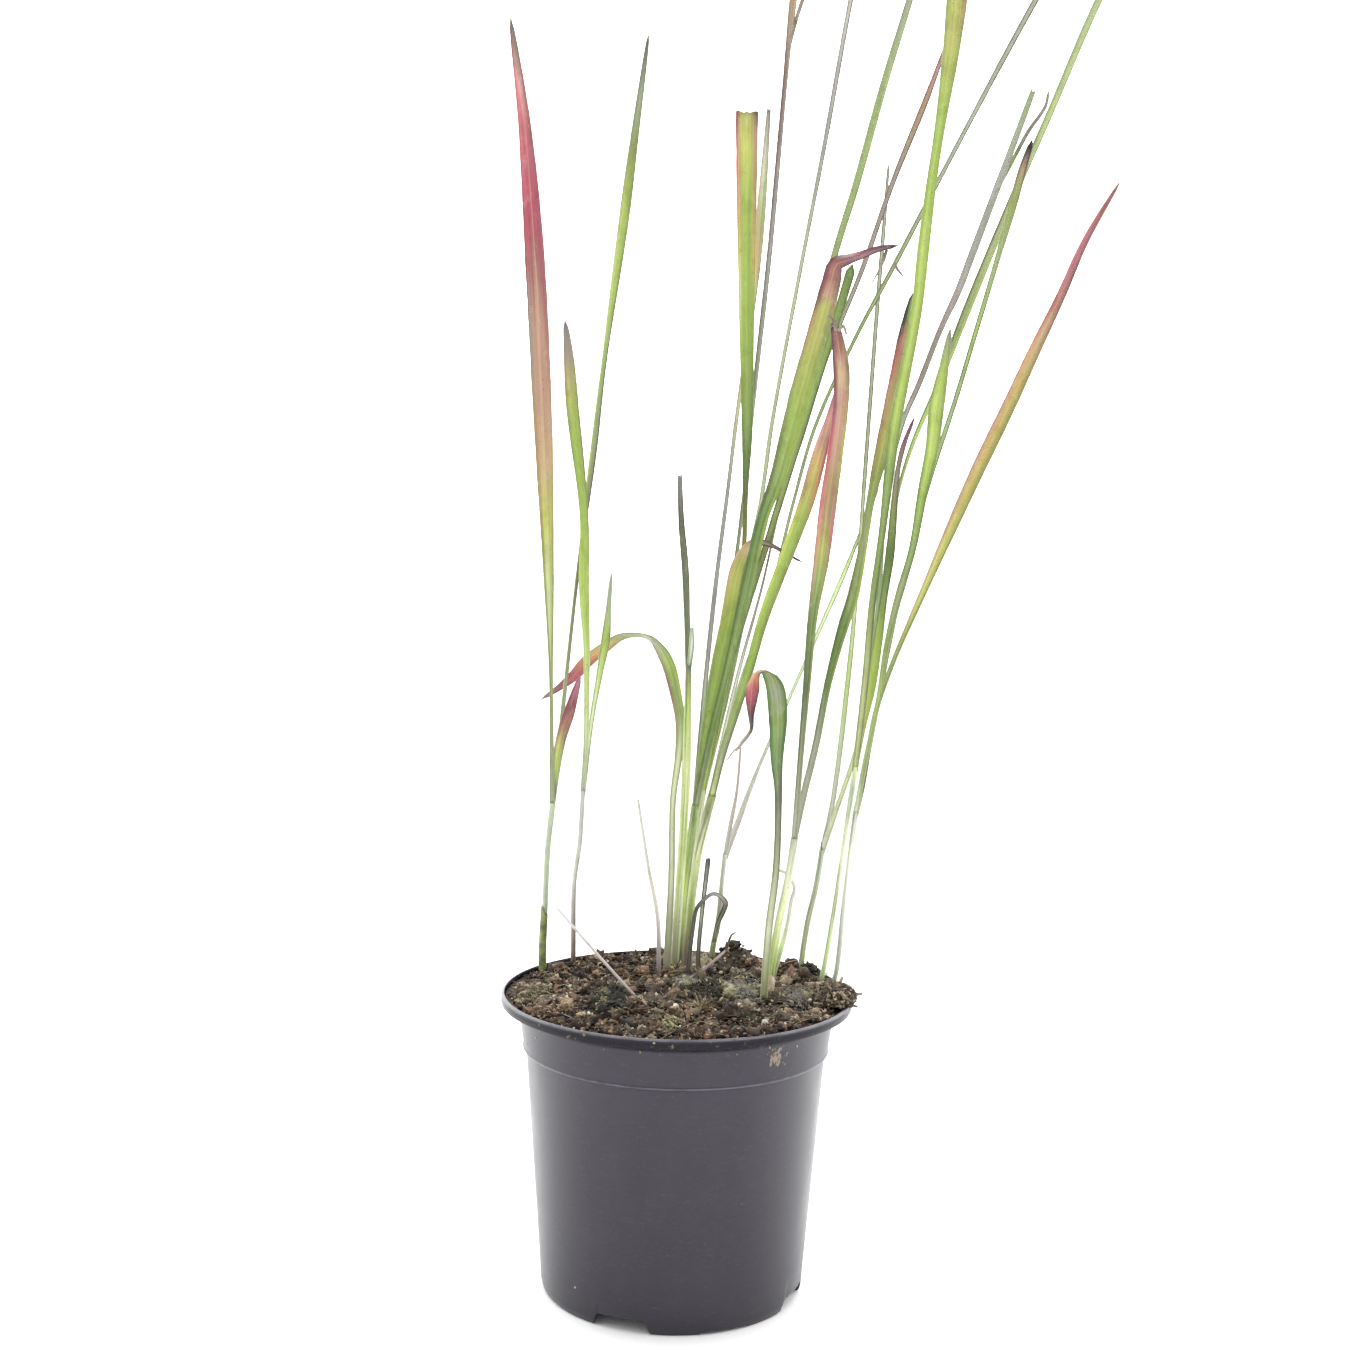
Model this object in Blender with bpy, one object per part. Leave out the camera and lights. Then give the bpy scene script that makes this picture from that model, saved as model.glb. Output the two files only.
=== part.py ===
"""Japanese blood grass in a 13 cm nursery pot.

The pot, the soil, each shoot and each leaf are separate closed solids. Z is up, and the origin is
the centre of the pot's underside. A viewer in front of the pot looks along +Y, with +X to the right.
Sizes below are in millimetres, and they are turned into metres where a mesh is made.
"""

import math

import bmesh
import bpy
from mathutils import Matrix, Vector, noise

MM = 0.001
GAP = 0.3

# Pot: thin moulded shell with a flared lip, a collar, and feet between four drain notches.
POT_HEIGHT = 111.6
LIP_RADIUS = 65.0
LIP_BAND = 3.0
COLLAR_TOP_RADIUS = 58.4
COLLAR_TOP = 105.2
COLLAR_FOOT_RADIUS = 56.4
COLLAR_FOOT = 91.6
BODY_TOP_RADIUS = 55.5
BODY_FOOT_RADIUS = 48.9
BODY_FOOT = 3.2
FOOT_RADIUS = 47.6
WALL = 1.1
PAD_RADIUS = 30.8
CHANNEL_ROOF = 4.6
FLOOR_THICKNESS = 1.2
POT_SIDES = 56
NOTCH_COUNT = 4
NOTCH_WIDTH = 18.5
NOTCH_HEIGHT = 5.0
NOTCH_SPLAY = 2.2
NOTCH_TURN = -21.5
RECESS_WIDTH = 17.0
RECESS_HEIGHT = 1.0
DRAIN_RADIUS = 4.0
DRAIN_CIRCLE = 40.0

# Soil: fills the pot to the lip, with low mounds of coarse crumb.
SOIL_SIDES = 44
SOIL_LEVEL = 110.3
SOIL_EDGE_RADIUS = 63.5
SOIL_RINGS = (58, 52, 46, 40, 33, 26, 19, 12, 6)
CRUMB_SIZE = 9.0
CRUMB_HEIGHT = 1.1
# Each mound is x, y, radius, height.
SOIL_MOUNDS = (
    (25, 51, 7.5, 6.5),
    (42, 33, 7.5, 3.2),
    (51, 26, 7, 4.4),
    (4, 34, 9, 1.8),
    (33, -3, 8, 1.0),
    (-30, 46, 9, 1.2),
    (-8, -28, 14, 0.8),
)

# A clump of coir that lies over the lip.
CLUMP_CENTRE = (58.0, -7.0, 112.0)
CLUMP_RADII = (7.8, 13.0, 5.0)
CLUMP_REST = 112.0

# Grass: section of a blade and of a shoot.
BLADE_THICKNESS = 0.5
STALK_THICKNESS = 1.0
STALK_NARROWING = 0.2
BLADE_FOLD = 0.1
SHOOT_SIDES = 8
BEND_PER_RING = 15.0
TWIST_SHARE = 1.6
LEAF_FOOT_GAP = 0.7
SOCKET_CLEARANCE = 0.6
SOCKET_SIDES = 6

# A shoot's stations run from below the soil to the fork: x, y, z, width. The first number is its
# depth, front to back, which is what its leaves stand on.
SHOOTS = {
    "shoot_left": (3.2, (
        (-51, 30, 109, 2.3), (-52, 30, 112, 2.3), (-51, 24, 138, 2.3), (-50, 19, 160, 2.3),
        (-48, 15, 179, 2.3),
    )),
    "shoot_left_back": (2.2, (
        (-41, 43, 109, 2.0), (-41, 43, 115, 2.0), (-41, 42, 143, 2.0), (-39, 41, 159, 2.0),
        (-38, 40, 180, 1.9),
    )),
    "shoot_centre": (2.4, (
        (-1, 38, 106, 3.1), (-1, 38, 111, 3.1), (0, 37, 136, 3.5), (1, 36, 158, 3.5),
        (2, 35, 190, 3.5), (2, 34, 217, 2.7), (2, 33, 230, 2.3),
    )),
    "shoot_centre_back": (4.2, (
        (1, 44, 106, 3.5), (1, 44, 112, 3.5), (2, 43, 137, 3.5), (4, 42, 157, 3.5),
        (6, 41, 175, 3.5),
    )),
    "shoot_centre_rear": (4.2, (
        (3, 50, 106, 2.8), (3, 50, 113, 2.8), (4, 50, 138, 2.8), (6, 50, 156, 2.8),
        (9, 50, 180, 2.7),
    )),
    "shoot_centre_right": (3.2, (
        (5, 32, 106, 3.5), (4, 32, 117, 3.5), (5, 30, 138, 3.1), (7, 26, 158, 3.4),
        (10, 24, 173, 3.4), (12, 22, 182, 3.4),
    )),
    "shoot_dry": (2.2, (
        (14, 50, 107, 2.4), (14, 50, 116, 2.4), (16, 50, 127, 2.4), (17, 50, 142, 2.0),
        (18, 50, 154, 2.0),
    )),
    "shoot_front": (2.4, (
        (34, 0, 106, 3.0), (34, 0, 112, 3.0), (37, -3, 138, 3.0), (40, -4, 155, 2.9),
        (42, -6, 171, 2.9),
    )),
    "shoot_right_inner": (2.2, (
        (48, 30, 108, 2.3), (48, 30, 115, 2.3), (50, 31, 131, 2.3), (53, 31, 146, 2.3),
        (55, 32, 160, 2.3),
    )),
    "shoot_right_middle": (3.2, (
        (54, 19, 108, 1.9), (56, 19, 117, 1.9), (60, 20, 145, 1.9), (63, 21, 170, 1.9),
        (65, 22, 185, 2.3), (66, 22, 194, 2.3),
    )),
    "shoot_right_outer": (3.2, (
        (57, 10, 108.5, 1.9), (60, 11, 117, 1.9), (62, 12, 141, 1.9), (64, 13, 162, 1.9),
        (66, 14, 178, 2.3),
    )),
}

# A leaf that grows from a shoot: its shoot, its place on the shoot's top from front (-) to back (+),
# its width there, how it ends, and its stations above the fork: x, y, z, width, turn. Turn is in
# degrees: at 0 the blade's flat side faces the front, and at 90 it is edge-on.
SHOOT_LEAVES = {
    "leaf_left_long": ("shoot_left", -1, 1.6, "point", (
        (-49, 10, 226, 1.0, 10), (-50, 5, 263, 3.5, 10), (-52, -4, 317, 6.1, 0),
        (-54.6, -16, 373, 6.4, 0), (-57.7, -29, 418, 4.2, 10), (-62, -40, 452, 0.4, 20),
    )),
    "leaf_left_short": ("shoot_left", 0, 1.5, "point", (
        (-47, 14, 192, 3.0, 0), (-45, 12, 204, 3.5, 0), (-42, 10, 214, 3.7, 0),
        (-38, 6, 228, 0.4, 10),
    )),
    "leaf_left_thin": ("shoot_left", 1, 1.6, "point", (
        (-45, 21, 216, 1.4, 30), (-41, 29, 263, 1.4, 40), (-36, 39, 311, 2.5, 20),
        (-33, 47, 344, 2.3, 40), (-27, 63, 399, 4.0, 20), (-23.6, 73, 433, 3.0, 10),
        (-19, 88, 477, 0.4, 10),
    )),
    "leaf_back_wide": ("shoot_left_back", -0.5, 1.5, "point", (
        (-37, 36, 202, 1.5, 10), (-37, 30, 236, 2.2, 10), (-38, 24, 259, 3.4, 0),
        (-38, 15, 287, 3.2, 20), (-41.8, 0, 325, 4.2, 0), (-43, -9, 344, 3.1, 0),
        (-44, -15, 355, 0.4, 0),
    )),
    "leaf_back_short": ("shoot_left_back", 0.5, 1.5, "point", (
        (-35, 38, 208, 1.5, 10), (-32, 36, 227, 2.2, 10), (-30, 35, 239, 3.1, 0),
        (-29, 32, 252, 1.7, 20), (-28, 30, 265, 0.4, 20),
    )),
    "leaf_cut_dark": ("shoot_centre", 0.5, 1.8, "cut", (
        (1, 36, 247, 2.2, 30), (0, 41, 266, 2.8, 30), (-2, 47, 285, 2.3, 30),
        (-3, 55, 303, 1.6, 30),
    )),
    "leaf_stub": ("shoot_centre", -0.5, 1.5, "cut", (
        (3, 32, 238, 1.6, 10), (3, 31, 245, 0.8, 10),
    )),
    "leaf_bent_purple": ("shoot_centre_back", -1.5, 1.8, "point", (
        (11, 34, 203, 2.0, 15), (17, 29, 231, 2.2, 25), (23, 22, 260, 3.6, 10),
        (28, 15, 286, 3.3, 0), (33, 9, 302, 4.4, 0), (40, -2, 332, 6.1, 0),
        (46.5, -14, 359, 5.9, 0), (48.8, -20, 370, 5.4, 10), (50, -24, 375.5, 4.8, 25),
        (54, -26, 377, 4.0, 40), (57.5, -29, 378, 3.0, 50), (63.5, -32, 380, 1.9, 50),
        (70, -35, 381, 0.5, 50),
    )),
    "leaf_wide_green": ("shoot_centre_back", -0.5, 2.4, "point", (
        (9, 37, 201, 3.5, 5), (13, 33, 227, 5.4, 0), (17, 29, 248, 6.1, 0),
        (20, 25, 267, 6.3, 10), (23, 24, 275, 5.4, 40), (26, 23, 278, 4.4, 60),
        (32, 22, 277, 2.7, 60), (38, 20, 274, 0.9, 60), (44, 18, 271, 0.6, 60),
    )),
    "leaf_bent_rear": ("shoot_centre_back", 0.5, 1.8, "point", (
        (10, 39, 199, 1.5, 10), (21, 34, 242, 1.6, 30), (31, 28, 279, 2.3, 20),
        (41, 20, 316, 2.7, 20), (48, 15, 341, 2.6, 20), (54, 9, 363, 2.9, 10),
        (58, 4, 379, 0.4, 0),
    )),
    "leaf_cut_slim": ("shoot_centre_back", 1.5, 1.8, "cut", (
        (7, 42, 199, 1.5, 20), (9, 41, 229, 1.8, 40), (12, 39, 264, 1.9, 50),
        (15.4, 37, 296, 1.8, 60), (18.4, 35, 326, 1.8, 60), (23.3, 31, 368, 2.3, 45),
        (25.2, 28, 397, 2.8, 20), (27.3, 24, 437, 3.2, 10),
    )),
    "leaf_cut_broad": ("shoot_centre_rear", -1.5, 1.6, "cut", (
        (14, 44, 208, 1.5, 10), (19, 38, 244, 1.2, 20), (22, 32, 275, 1.3, 20),
        (22, 28, 297, 1.7, 20), (22, 23, 320, 3.4, 0), (20.3, 10, 366, 4.9, 0),
        (19.2, -1, 400, 6.1, 0), (18.3, -12, 429, 7.0, 0),
    )),
    "leaf_tall_right": ("shoot_centre_rear", -0.5, 1.6, "point", (
        (17, 47, 216, 1.4, 20), (26, 45, 263, 1.7, 60), (35, 43, 305, 2.3, 60),
        (44, 40, 343, 2.9, 60), (54, 37, 387, 2.8, 45), (61, 35, 412, 2.9, 40),
        (70, 33, 448, 2.8, 35), (78, 30, 477, 2.6, 40), (87, 29, 510, 2.2, 40),
        (96, 27, 541, 0.4, 40),
    )),
    "leaf_tall_left": ("shoot_centre_rear", 0.5, 1.6, "point", (
        (13, 50, 208, 1.4, 10), (18, 51, 255, 1.8, 50), (22, 52, 294, 1.9, 60),
        (25, 54, 332, 2.5, 60), (30, 57, 388, 2.7, 60), (34.5, 61, 453, 1.9, 45),
        (37, 64, 485, 2.8, 40), (40, 68, 515, 2.8, 30), (43, 73, 548, 0.4, 20),
    )),
    "leaf_tall_mid": ("shoot_centre_rear", 1.5, 1.6, "point", (
        (15, 54, 215, 1.5, 30), (22, 57, 258, 1.8, 60), (29, 61, 292, 2.3, 65),
        (33, 65, 324, 2.3, 65), (42.3, 73, 380, 2.6, 70), (52.2, 84, 436, 2.6, 65),
        (61.6, 96, 493, 2.4, 60), (68, 104, 524, 2.2, 50), (75, 112, 552, 0.4, 40),
    )),
    "leaf_lime_red": ("shoot_centre_right", -1, 2.4, "point", (
        (15, 18, 197, 2.5, 10), (19, 14, 212, 2.8, 10), (24, 9, 230, 3.1, 0),
        (29, 2, 251, 3.5, 0), (37.2, -10, 277, 4.3, 0), (42.3, -20, 294, 5.0, 0),
        (45.7, -29, 310, 4.7, 0), (48.4, -37, 322, 2.8, 10), (50, -45, 332, 0.4, 20),
    )),
    "leaf_brown_thin": ("shoot_centre_right", 0, 1.8, "point", (
        (15, 23, 201, 1.3, 20), (21, 26, 229, 1.3, 40), (29, 29, 261, 0.9, 60),
        (36, 32, 295, 0.9, 60), (43, 35, 317, 1.5, 60), (52, 38, 348, 2.1, 60),
        (65, 44, 382, 2.5, 55), (76, 49, 415, 2.4, 50), (88.3, 55, 447, 2.6, 40),
        (97, 60, 472, 0.5, 40),
    )),
    "leaf_far_thin": ("shoot_centre_right", 1, 1.8, "point", (
        (16, 25, 201, 1.3, 20), (22, 29, 225, 1.3, 40), (32, 35, 256, 1.3, 50),
        (41, 41, 294, 1.7, 60), (49, 46, 323, 2.0, 60), (64, 54, 357, 2.1, 60),
        (78, 60, 384, 2.7, 60), (104, 73, 435, 2.7, 60), (135, 92, 494, 3.0, 50),
        (147, 98, 514, 2.3, 40), (159, 104, 533, 0.4, 30),
    )),
    "leaf_dry_short": ("shoot_dry", -0.5, 1.4, "point", (
        (20, 49, 167, 1.3, 10), (22, 48, 180, 0.9, 30), (23, 47, 198, 0.6, 40),
    )),
    "leaf_dry_long": ("shoot_dry", 0.5, 1.4, "point", (
        (23, 52, 167, 1.3, 10), (26, 53, 176, 1.2, 30), (32, 55, 192, 1.0, 50),
        (44, 59, 220, 1.1, 60), (53, 63, 241, 1.4, 60), (63, 69, 264, 1.7, 60),
        (70, 73, 282, 1.1, 60), (77, 78, 300, 0.8, 60),
    )),
    "leaf_red_broad": ("shoot_front", -0.5, 1.8, "cut", (
        (43, -13, 204, 1.8, 10), (44, -18, 227, 2.4, 10), (45, -26, 253, 3.2, 0),
        (47, -34, 274, 5.2, 0), (48.2, -42, 293, 5.6, 0), (49.6, -51, 311, 5.0, 0),
        (50.2, -60, 327, 4.9, 10), (49.4, -66, 338, 4.9, 20), (46.6, -74, 350, 2.4, 30),
    )),
    "leaf_front_long": ("shoot_front", 0.5, 1.8, "point", (
        (45, -4, 187, 2.1, 10), (49, -2, 205, 2.3, 20), (53, 1, 227, 2.3, 10),
        (58, 4, 247, 3.5, 0), (62, 7, 260, 3.8, 0), (66, 11, 282, 2.8, 30),
        (68, 14, 295, 3.1, 30), (73, 19, 317, 5.3, 0), (79, 26, 345, 6.2, 0),
        (82, 30, 359, 6.2, 0), (84, 34, 373, 0.8, 0),
    )),
    "leaf_grey_cut": ("shoot_right_inner", -0.5, 1.5, "cut", (
        (60, 33, 175, 1.3, 10), (67, 35, 198, 1.4, 30), (71, 38, 222, 1.1, 50),
        (75, 43, 260, 1.4, 50), (77, 48, 297, 1.9, 50), (82.8, 52, 324, 1.9, 50),
        (89.7, 55, 341, 2.1, 45), (96.8, 58, 360, 2.1, 45), (104, 61.5, 376, 2.6, 40),
        (109.6, 65, 391, 2.6, 35), (122, 72, 425, 2.3, 30), (133.7, 80, 457, 1.7, 30),
    )),
    "leaf_far_stalk": ("shoot_right_inner", 0.5, 1.5, "point", (
        (59, 35, 180, 1.6, 10), (64, 44, 225, 2.1, 40), (67, 52, 259, 2.2, 60),
        (70.4, 65, 310, 2.3, 60), (75.4, 87, 376, 2.3, 60), (78, 98, 406, 2.1, 60),
        (80, 108, 432, 0.8, 60),
    )),
    "leaf_bright": ("shoot_right_middle", -1, 1.8, "point", (
        (68, 14, 228, 2.1, 10), (69, 7, 257, 2.1, 20), (71, -2, 284, 2.2, 20),
        (72, -10, 305, 3.1, 20), (73, -17, 322, 3.4, 10), (77, -35, 359, 3.1, 10),
        (77.3, -46, 378, 3.3, 10), (77.8, -59, 398, 2.8, 0), (78.3, -72, 413, 2.8, 0),
        (79, -90, 435, 4.6, 0), (79, -100, 450, 5.6, 0), (79, -112, 475, 5.0, 0), (78, -126, 512, 0.4, 0),
    )),
    "leaf_inner_lime": ("shoot_right_middle", 0, 1.8, "point", (
        (68, 22, 209, 2.7, 0), (71, 23, 224, 3.4, 0), (73, 24, 240, 3.4, 0),
        (75, 25, 258, 2.5, 20), (77, 26, 274, 3.0, 10), (78, 27, 291, 2.5, 20),
        (79, 28, 305, 1.9, 40), (81, 29, 315, 1.9, 40), (85, 30, 326, 0.5, 40),
    )),
    "leaf_tall_lime": ("shoot_right_middle", 1, 1.6, "point", (
        (70, 26, 219, 1.5, 20), (74, 29, 249, 1.5, 50), (77, 32, 280, 1.5, 60),
        (81, 34, 302, 1.5, 60), (86, 36, 318, 1.9, 55), (95, 38, 340, 2.2, 50),
        (103, 41, 362, 2.9, 40), (114, 46, 390, 2.9, 40), (122, 50, 410, 2.6, 45),
        (136, 56, 443, 2.6, 45), (155, 66, 488, 2.7, 40), (167, 72, 510, 2.2, 30),
        (179, 78, 532, 0.4, 20),
    )),
    "leaf_right_lime": ("shoot_right_outer", -1, 1.6, "point", (
        (68, 10, 195, 1.5, 10), (72, 5, 221, 1.5, 30), (74, 0, 242, 1.7, 30),
        (77, -5, 259, 2.4, 20), (81, -12, 278, 2.3, 10), (83, -20, 298, 3.3, 0),
        (84.7, -27, 312, 4.2, 0), (85.2, -34, 328, 4.8, 0), (86.2, -41, 340, 2.9, 0),
        (87, -48, 352, 0.3, 0),
    )),
    "leaf_right_red": ("shoot_right_outer", 0, 1.8, "point", (
        (68, 14, 187, 1.5, 0), (72, 12, 216, 1.6, 10), (78, 10, 236, 1.4, 20),
        (86, 8, 257, 2.1, 10), (98, 4, 288, 4.0, 0), (106, 1, 308, 4.6, 0),
        (115, -2, 329, 4.6, 0), (123, -6, 349, 3.9, 0), (131, -9, 368, 3.0, 0),
        (138.2, -13, 387, 2.1, 0), (148, -18, 406, 0.3, 0),
    )),
    "leaf_dark_tip": ("shoot_right_outer", 1, 1.6, "point", (
        (69, 16, 194, 1.3, 10), (73, 17, 218, 1.5, 40), (78, 17, 248, 1.5, 55),
        (83, 16, 275, 1.5, 55), (90, 15, 304, 2.0, 55), (98, 14, 332, 2.0, 55),
        (104, 13, 355, 2.0, 55), (111, 12, 382, 1.8, 35), (116, 11, 402, 2.5, 15),
        (119, 10, 415, 2.2, 10), (122, 10, 425, 0.7, 10),
    )),
}

# Leaves, straws and dry pieces that stand in the soil on their own, with the first station below it.
SOIL_LEAVES = {
    "leaf_arch": ("point", (
        (-4, 31, 107, 2.3, 0), (-4, 31, 114, 2.3, 0), (-3, 30, 147, 2.0, 10),
        (-3, 32, 178, 2.0, 20), (-1, 36, 197, 2.7, 20), (-1, 39, 209, 3.3, 20),
        (-3, 44, 219, 4.0, 15), (-6, 49, 229, 4.6, 20), (-11, 55, 236, 5.0, 50),
        (-17, 62, 239, 5.2, 75), (-25, 68, 238, 5.4, 60), (-32, 73, 233, 6.0, 50),
        (-39, 78, 227, 6.0, 45), (-45, 82, 220, 4.8, 40), (-51, 85, 215, 2.7, 40),
        (-58, 88, 210, 0.5, 40),
    )),
    "leaf_hooked": ("point", (
        (32, -9, 106, 2.2, 0), (32, -9, 112, 2.2, 0), (33, -12, 138, 2.4, 10),
        (35, -14, 161, 2.3, 20), (35, -18, 187, 2.3, 20), (34, -20, 202, 4.0, 10),
        (34, -22, 216, 6.0, 0), (33, -24, 226, 6.4, 10), (31, -26, 231.5, 5.6, 35),
        (28.5, -28.5, 234, 5.2, 85), (25.5, -31.5, 233, 5.2, 105), (24.5, -33.5, 229, 5.2, 140),
        (24, -34, 224, 3.7, 160), (24, -35, 219, 1.7, 160), (24, -36, 214, 0.8, 160),
        (21, -37, 210, 0.9, 160), (19, -38, 207, 0.4, 160),
    )),
    "straw_left": ("cut", (
        (-10, -13, 108, 1.1, 0), (-13, -11, 110, 1.1, 0), (-30, 4, 124, 1.1, 0),
        (-46, 18, 138, 1.0, 0),
    )),
    "straw_middle": ("cut", (
        (-7, 25, 107, 1.2, 0), (-7, 26, 113, 1.2, 0), (-8, 37, 131, 1.2, 0),
        (-12, 48, 148, 1.0, 0), (-17, 58, 174, 0.8, 0),
    )),
    "straw_short": ("cut", (
        (8, 24, 108, 1.2, 0), (10, 25, 113, 1.2, 0), (15, 28, 117, 1.2, 0),
        (20, 31, 121, 0.9, 0),
    )),
    "curled_leaf": ("cut", (
        (4, 24, 107, 1.2, 0), (4, 24, 113, 1.2, 0), (6, 24, 133, 1.2, 10),
        (7, 23, 138, 1.2, 30), (10, 22, 142, 1.4, 50), (13, 22, 144, 1.6, 60),
        (16, 22, 143, 2.0, 60), (18, 23, 140, 2.3, 40), (17, 24, 136, 1.9, 30),
        (15, 25, 131, 1.5, 30), (14, 26, 124, 1.2, 30),
    )),
    "dark_stub": ("cut", (
        (9, 28, 107, 1.2, 0), (8, 28, 117, 1.2, 0), (9, 25, 135, 1.2, 0),
        (10, 22, 147, 1.3, 0), (11, 20, 158, 1.5, 0),
    )),
    "tendril": ("cut", (
        (35, 6, 106, 1.4, 0), (35, 6, 112, 1.4, 0), (39, 6, 128, 1.3, 0),
        (41, 5, 138, 1.1, 0), (42, 4, 146, 1.0, 0), (43, 3, 151, 1.0, 0),
        (41, 2, 155, 0.9, 0), (39, 1, 157, 0.8, 0), (36, 0, 158, 0.7, 0),
    )),
}

# The grey leaf's margin is torn, and the torn strand leans away from it.
TORN_LEAF = "leaf_grey_cut"
TORN_STRAND = (
    (119, 70, 416, 0.9, 30), (123.7, 72, 425, 1.1, 30), (127.7, 74, 433, 1.1, 30),
    (132, 75, 441, 1.1, 30), (138, 76, 450, 0.9, 30), (139, 76, 456, 0.5, 30),
)

# Colours in linear light, and roughness.
FINISHES = {
    "pot": ((0.055, 0.050, 0.058), 0.35),
    "soil": ((0.060, 0.032, 0.018), 0.95),
    "bark_clump": ((0.110, 0.065, 0.035), 0.95),
    "green": ((0.270, 0.420, 0.075), 0.5),
    "lime": ((0.480, 0.570, 0.110), 0.5),
    "red": ((0.330, 0.075, 0.080), 0.5),
    "purple": ((0.180, 0.060, 0.070), 0.5),
    "dry": ((0.300, 0.220, 0.140), 0.8),
    "dark": ((0.060, 0.045, 0.040), 0.8),
    "shoot": ((0.380, 0.420, 0.170), 0.5),
}
RED_LEAVES = ("leaf_left_long", "leaf_red_broad", "leaf_right_red")
PURPLE_LEAVES = ("leaf_bent_purple", "leaf_grey_cut")
LIME_LEAVES = ("leaf_bright", "leaf_lime_red", "leaf_right_lime", "leaf_inner_lime", "leaf_tall_lime")
DRY_PIECES = ("straw_left", "straw_middle", "straw_short", "shoot_dry", "leaf_dry_short",
              "leaf_dry_long", "tendril")
DARK_PIECES = ("curled_leaf", "dark_stub")


def clear_scene():
    for old in list(bpy.data.objects):
        bpy.data.objects.remove(old, do_unlink=True)


def finish_of(name):
    if name in FINISHES:
        return FINISHES[name]
    for group, finish in (
        (RED_LEAVES, "red"),
        (PURPLE_LEAVES, "purple"),
        (LIME_LEAVES, "lime"),
        (DRY_PIECES, "dry"),
        (DARK_PIECES, "dark"),
    ):
        if name in group:
            return FINISHES[finish]
    return FINISHES["shoot" if name.startswith("shoot") else "green"]


def make_material(name):
    colour, roughness = finish_of(name)
    material = bpy.data.materials.new(name)
    material.use_nodes = True
    shader = material.node_tree.nodes["Principled BSDF"]
    shader.inputs["Base Color"].default_value = (*colour, 1.0)
    shader.inputs["Roughness"].default_value = roughness
    shader.inputs["Metallic"].default_value = 0.0
    return material


def add_object(name, bm, helper=False):
    """Turns a bmesh in millimetres into an object in metres."""
    bmesh.ops.scale(bm, verts=bm.verts, vec=(MM, MM, MM))
    mesh = bpy.data.meshes.new(name)
    bm.to_mesh(mesh)
    bm.free()
    piece = bpy.data.objects.new(name, mesh)
    bpy.context.scene.collection.objects.link(piece)
    if helper:
        piece.hide_render = True
        piece.display_type = "WIRE"
    else:
        mesh.materials.append(make_material(name))
        mesh.shade_smooth()
        mesh.set_sharp_from_angle(angle=math.radians(40))
    return piece


def spin_profile(profile, sides):
    """A closed turned solid from (radius, height) points that start and end on the axis."""
    bm = bmesh.new()
    verts = [bm.verts.new((radius, 0, height)) for radius, height in profile]
    edges = [bm.edges.new(pair) for pair in zip(verts, verts[1:])]
    bmesh.ops.spin(bm, geom=verts + edges, cent=(0, 0, 0), axis=(0, 0, 1),
                   angle=2 * math.pi, steps=sides, use_merge=True)
    bmesh.ops.remove_doubles(bm, verts=bm.verts, dist=1e-4)
    bmesh.ops.recalc_face_normals(bm, faces=bm.faces)
    return bm


def cut(piece, cutter):
    boolean = piece.modifiers.new(cutter.name, "BOOLEAN")
    boolean.operation = "DIFFERENCE"
    boolean.object = cutter


# Pot
def body_radius(height):
    """Outer radius of the tapered body at a height."""
    share = (height - BODY_FOOT) / (COLLAR_FOOT - BODY_FOOT)
    return BODY_FOOT_RADIUS + share * (BODY_TOP_RADIUS - BODY_FOOT_RADIUS)


def pot_profile():
    floor = CHANNEL_ROOF + FLOOR_THICKNESS
    band_foot = POT_HEIGHT - LIP_BAND
    outside = [
        (LIP_RADIUS - 0.7, POT_HEIGHT),
        (LIP_RADIUS, POT_HEIGHT - 0.7),
        (LIP_RADIUS, band_foot),
        (LIP_RADIUS - 0.8, band_foot - 0.7),
        (COLLAR_TOP_RADIUS + 0.6, COLLAR_TOP + 0.7),
        (COLLAR_TOP_RADIUS, COLLAR_TOP),
        (COLLAR_FOOT_RADIUS, COLLAR_FOOT),
        (BODY_TOP_RADIUS, COLLAR_FOOT - 0.8),
        (BODY_FOOT_RADIUS, BODY_FOOT),
        (BODY_FOOT_RADIUS - 0.5, BODY_FOOT - 2.3),
        (FOOT_RADIUS, 0),
    ]
    underside = [
        (FOOT_RADIUS - WALL + 0.2, 0),
        (FOOT_RADIUS - 0.4, CHANNEL_ROOF),
        (PAD_RADIUS + 1.4, CHANNEL_ROOF),
        (PAD_RADIUS, 0),
        (0, 0),
    ]
    inside = [
        (0, FLOOR_THICKNESS),
        (PAD_RADIUS - 0.8, FLOOR_THICKNESS),
        (PAD_RADIUS + 0.6, floor),
        (body_radius(floor) - WALL, floor),
        (BODY_TOP_RADIUS - WALL, COLLAR_FOOT - 1.2),
        (COLLAR_FOOT_RADIUS - WALL, COLLAR_FOOT - 0.4),
        (COLLAR_TOP_RADIUS - WALL, COLLAR_TOP + 0.2),
        (COLLAR_TOP_RADIUS - 0.3, COLLAR_TOP + 1.3),
        (LIP_RADIUS - 1.7, band_foot),
        (LIP_RADIUS - WALL, band_foot + 0.6),
        (LIP_RADIUS - WALL, POT_HEIGHT - 0.4),
    ]
    return inside + outside + underside


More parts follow.
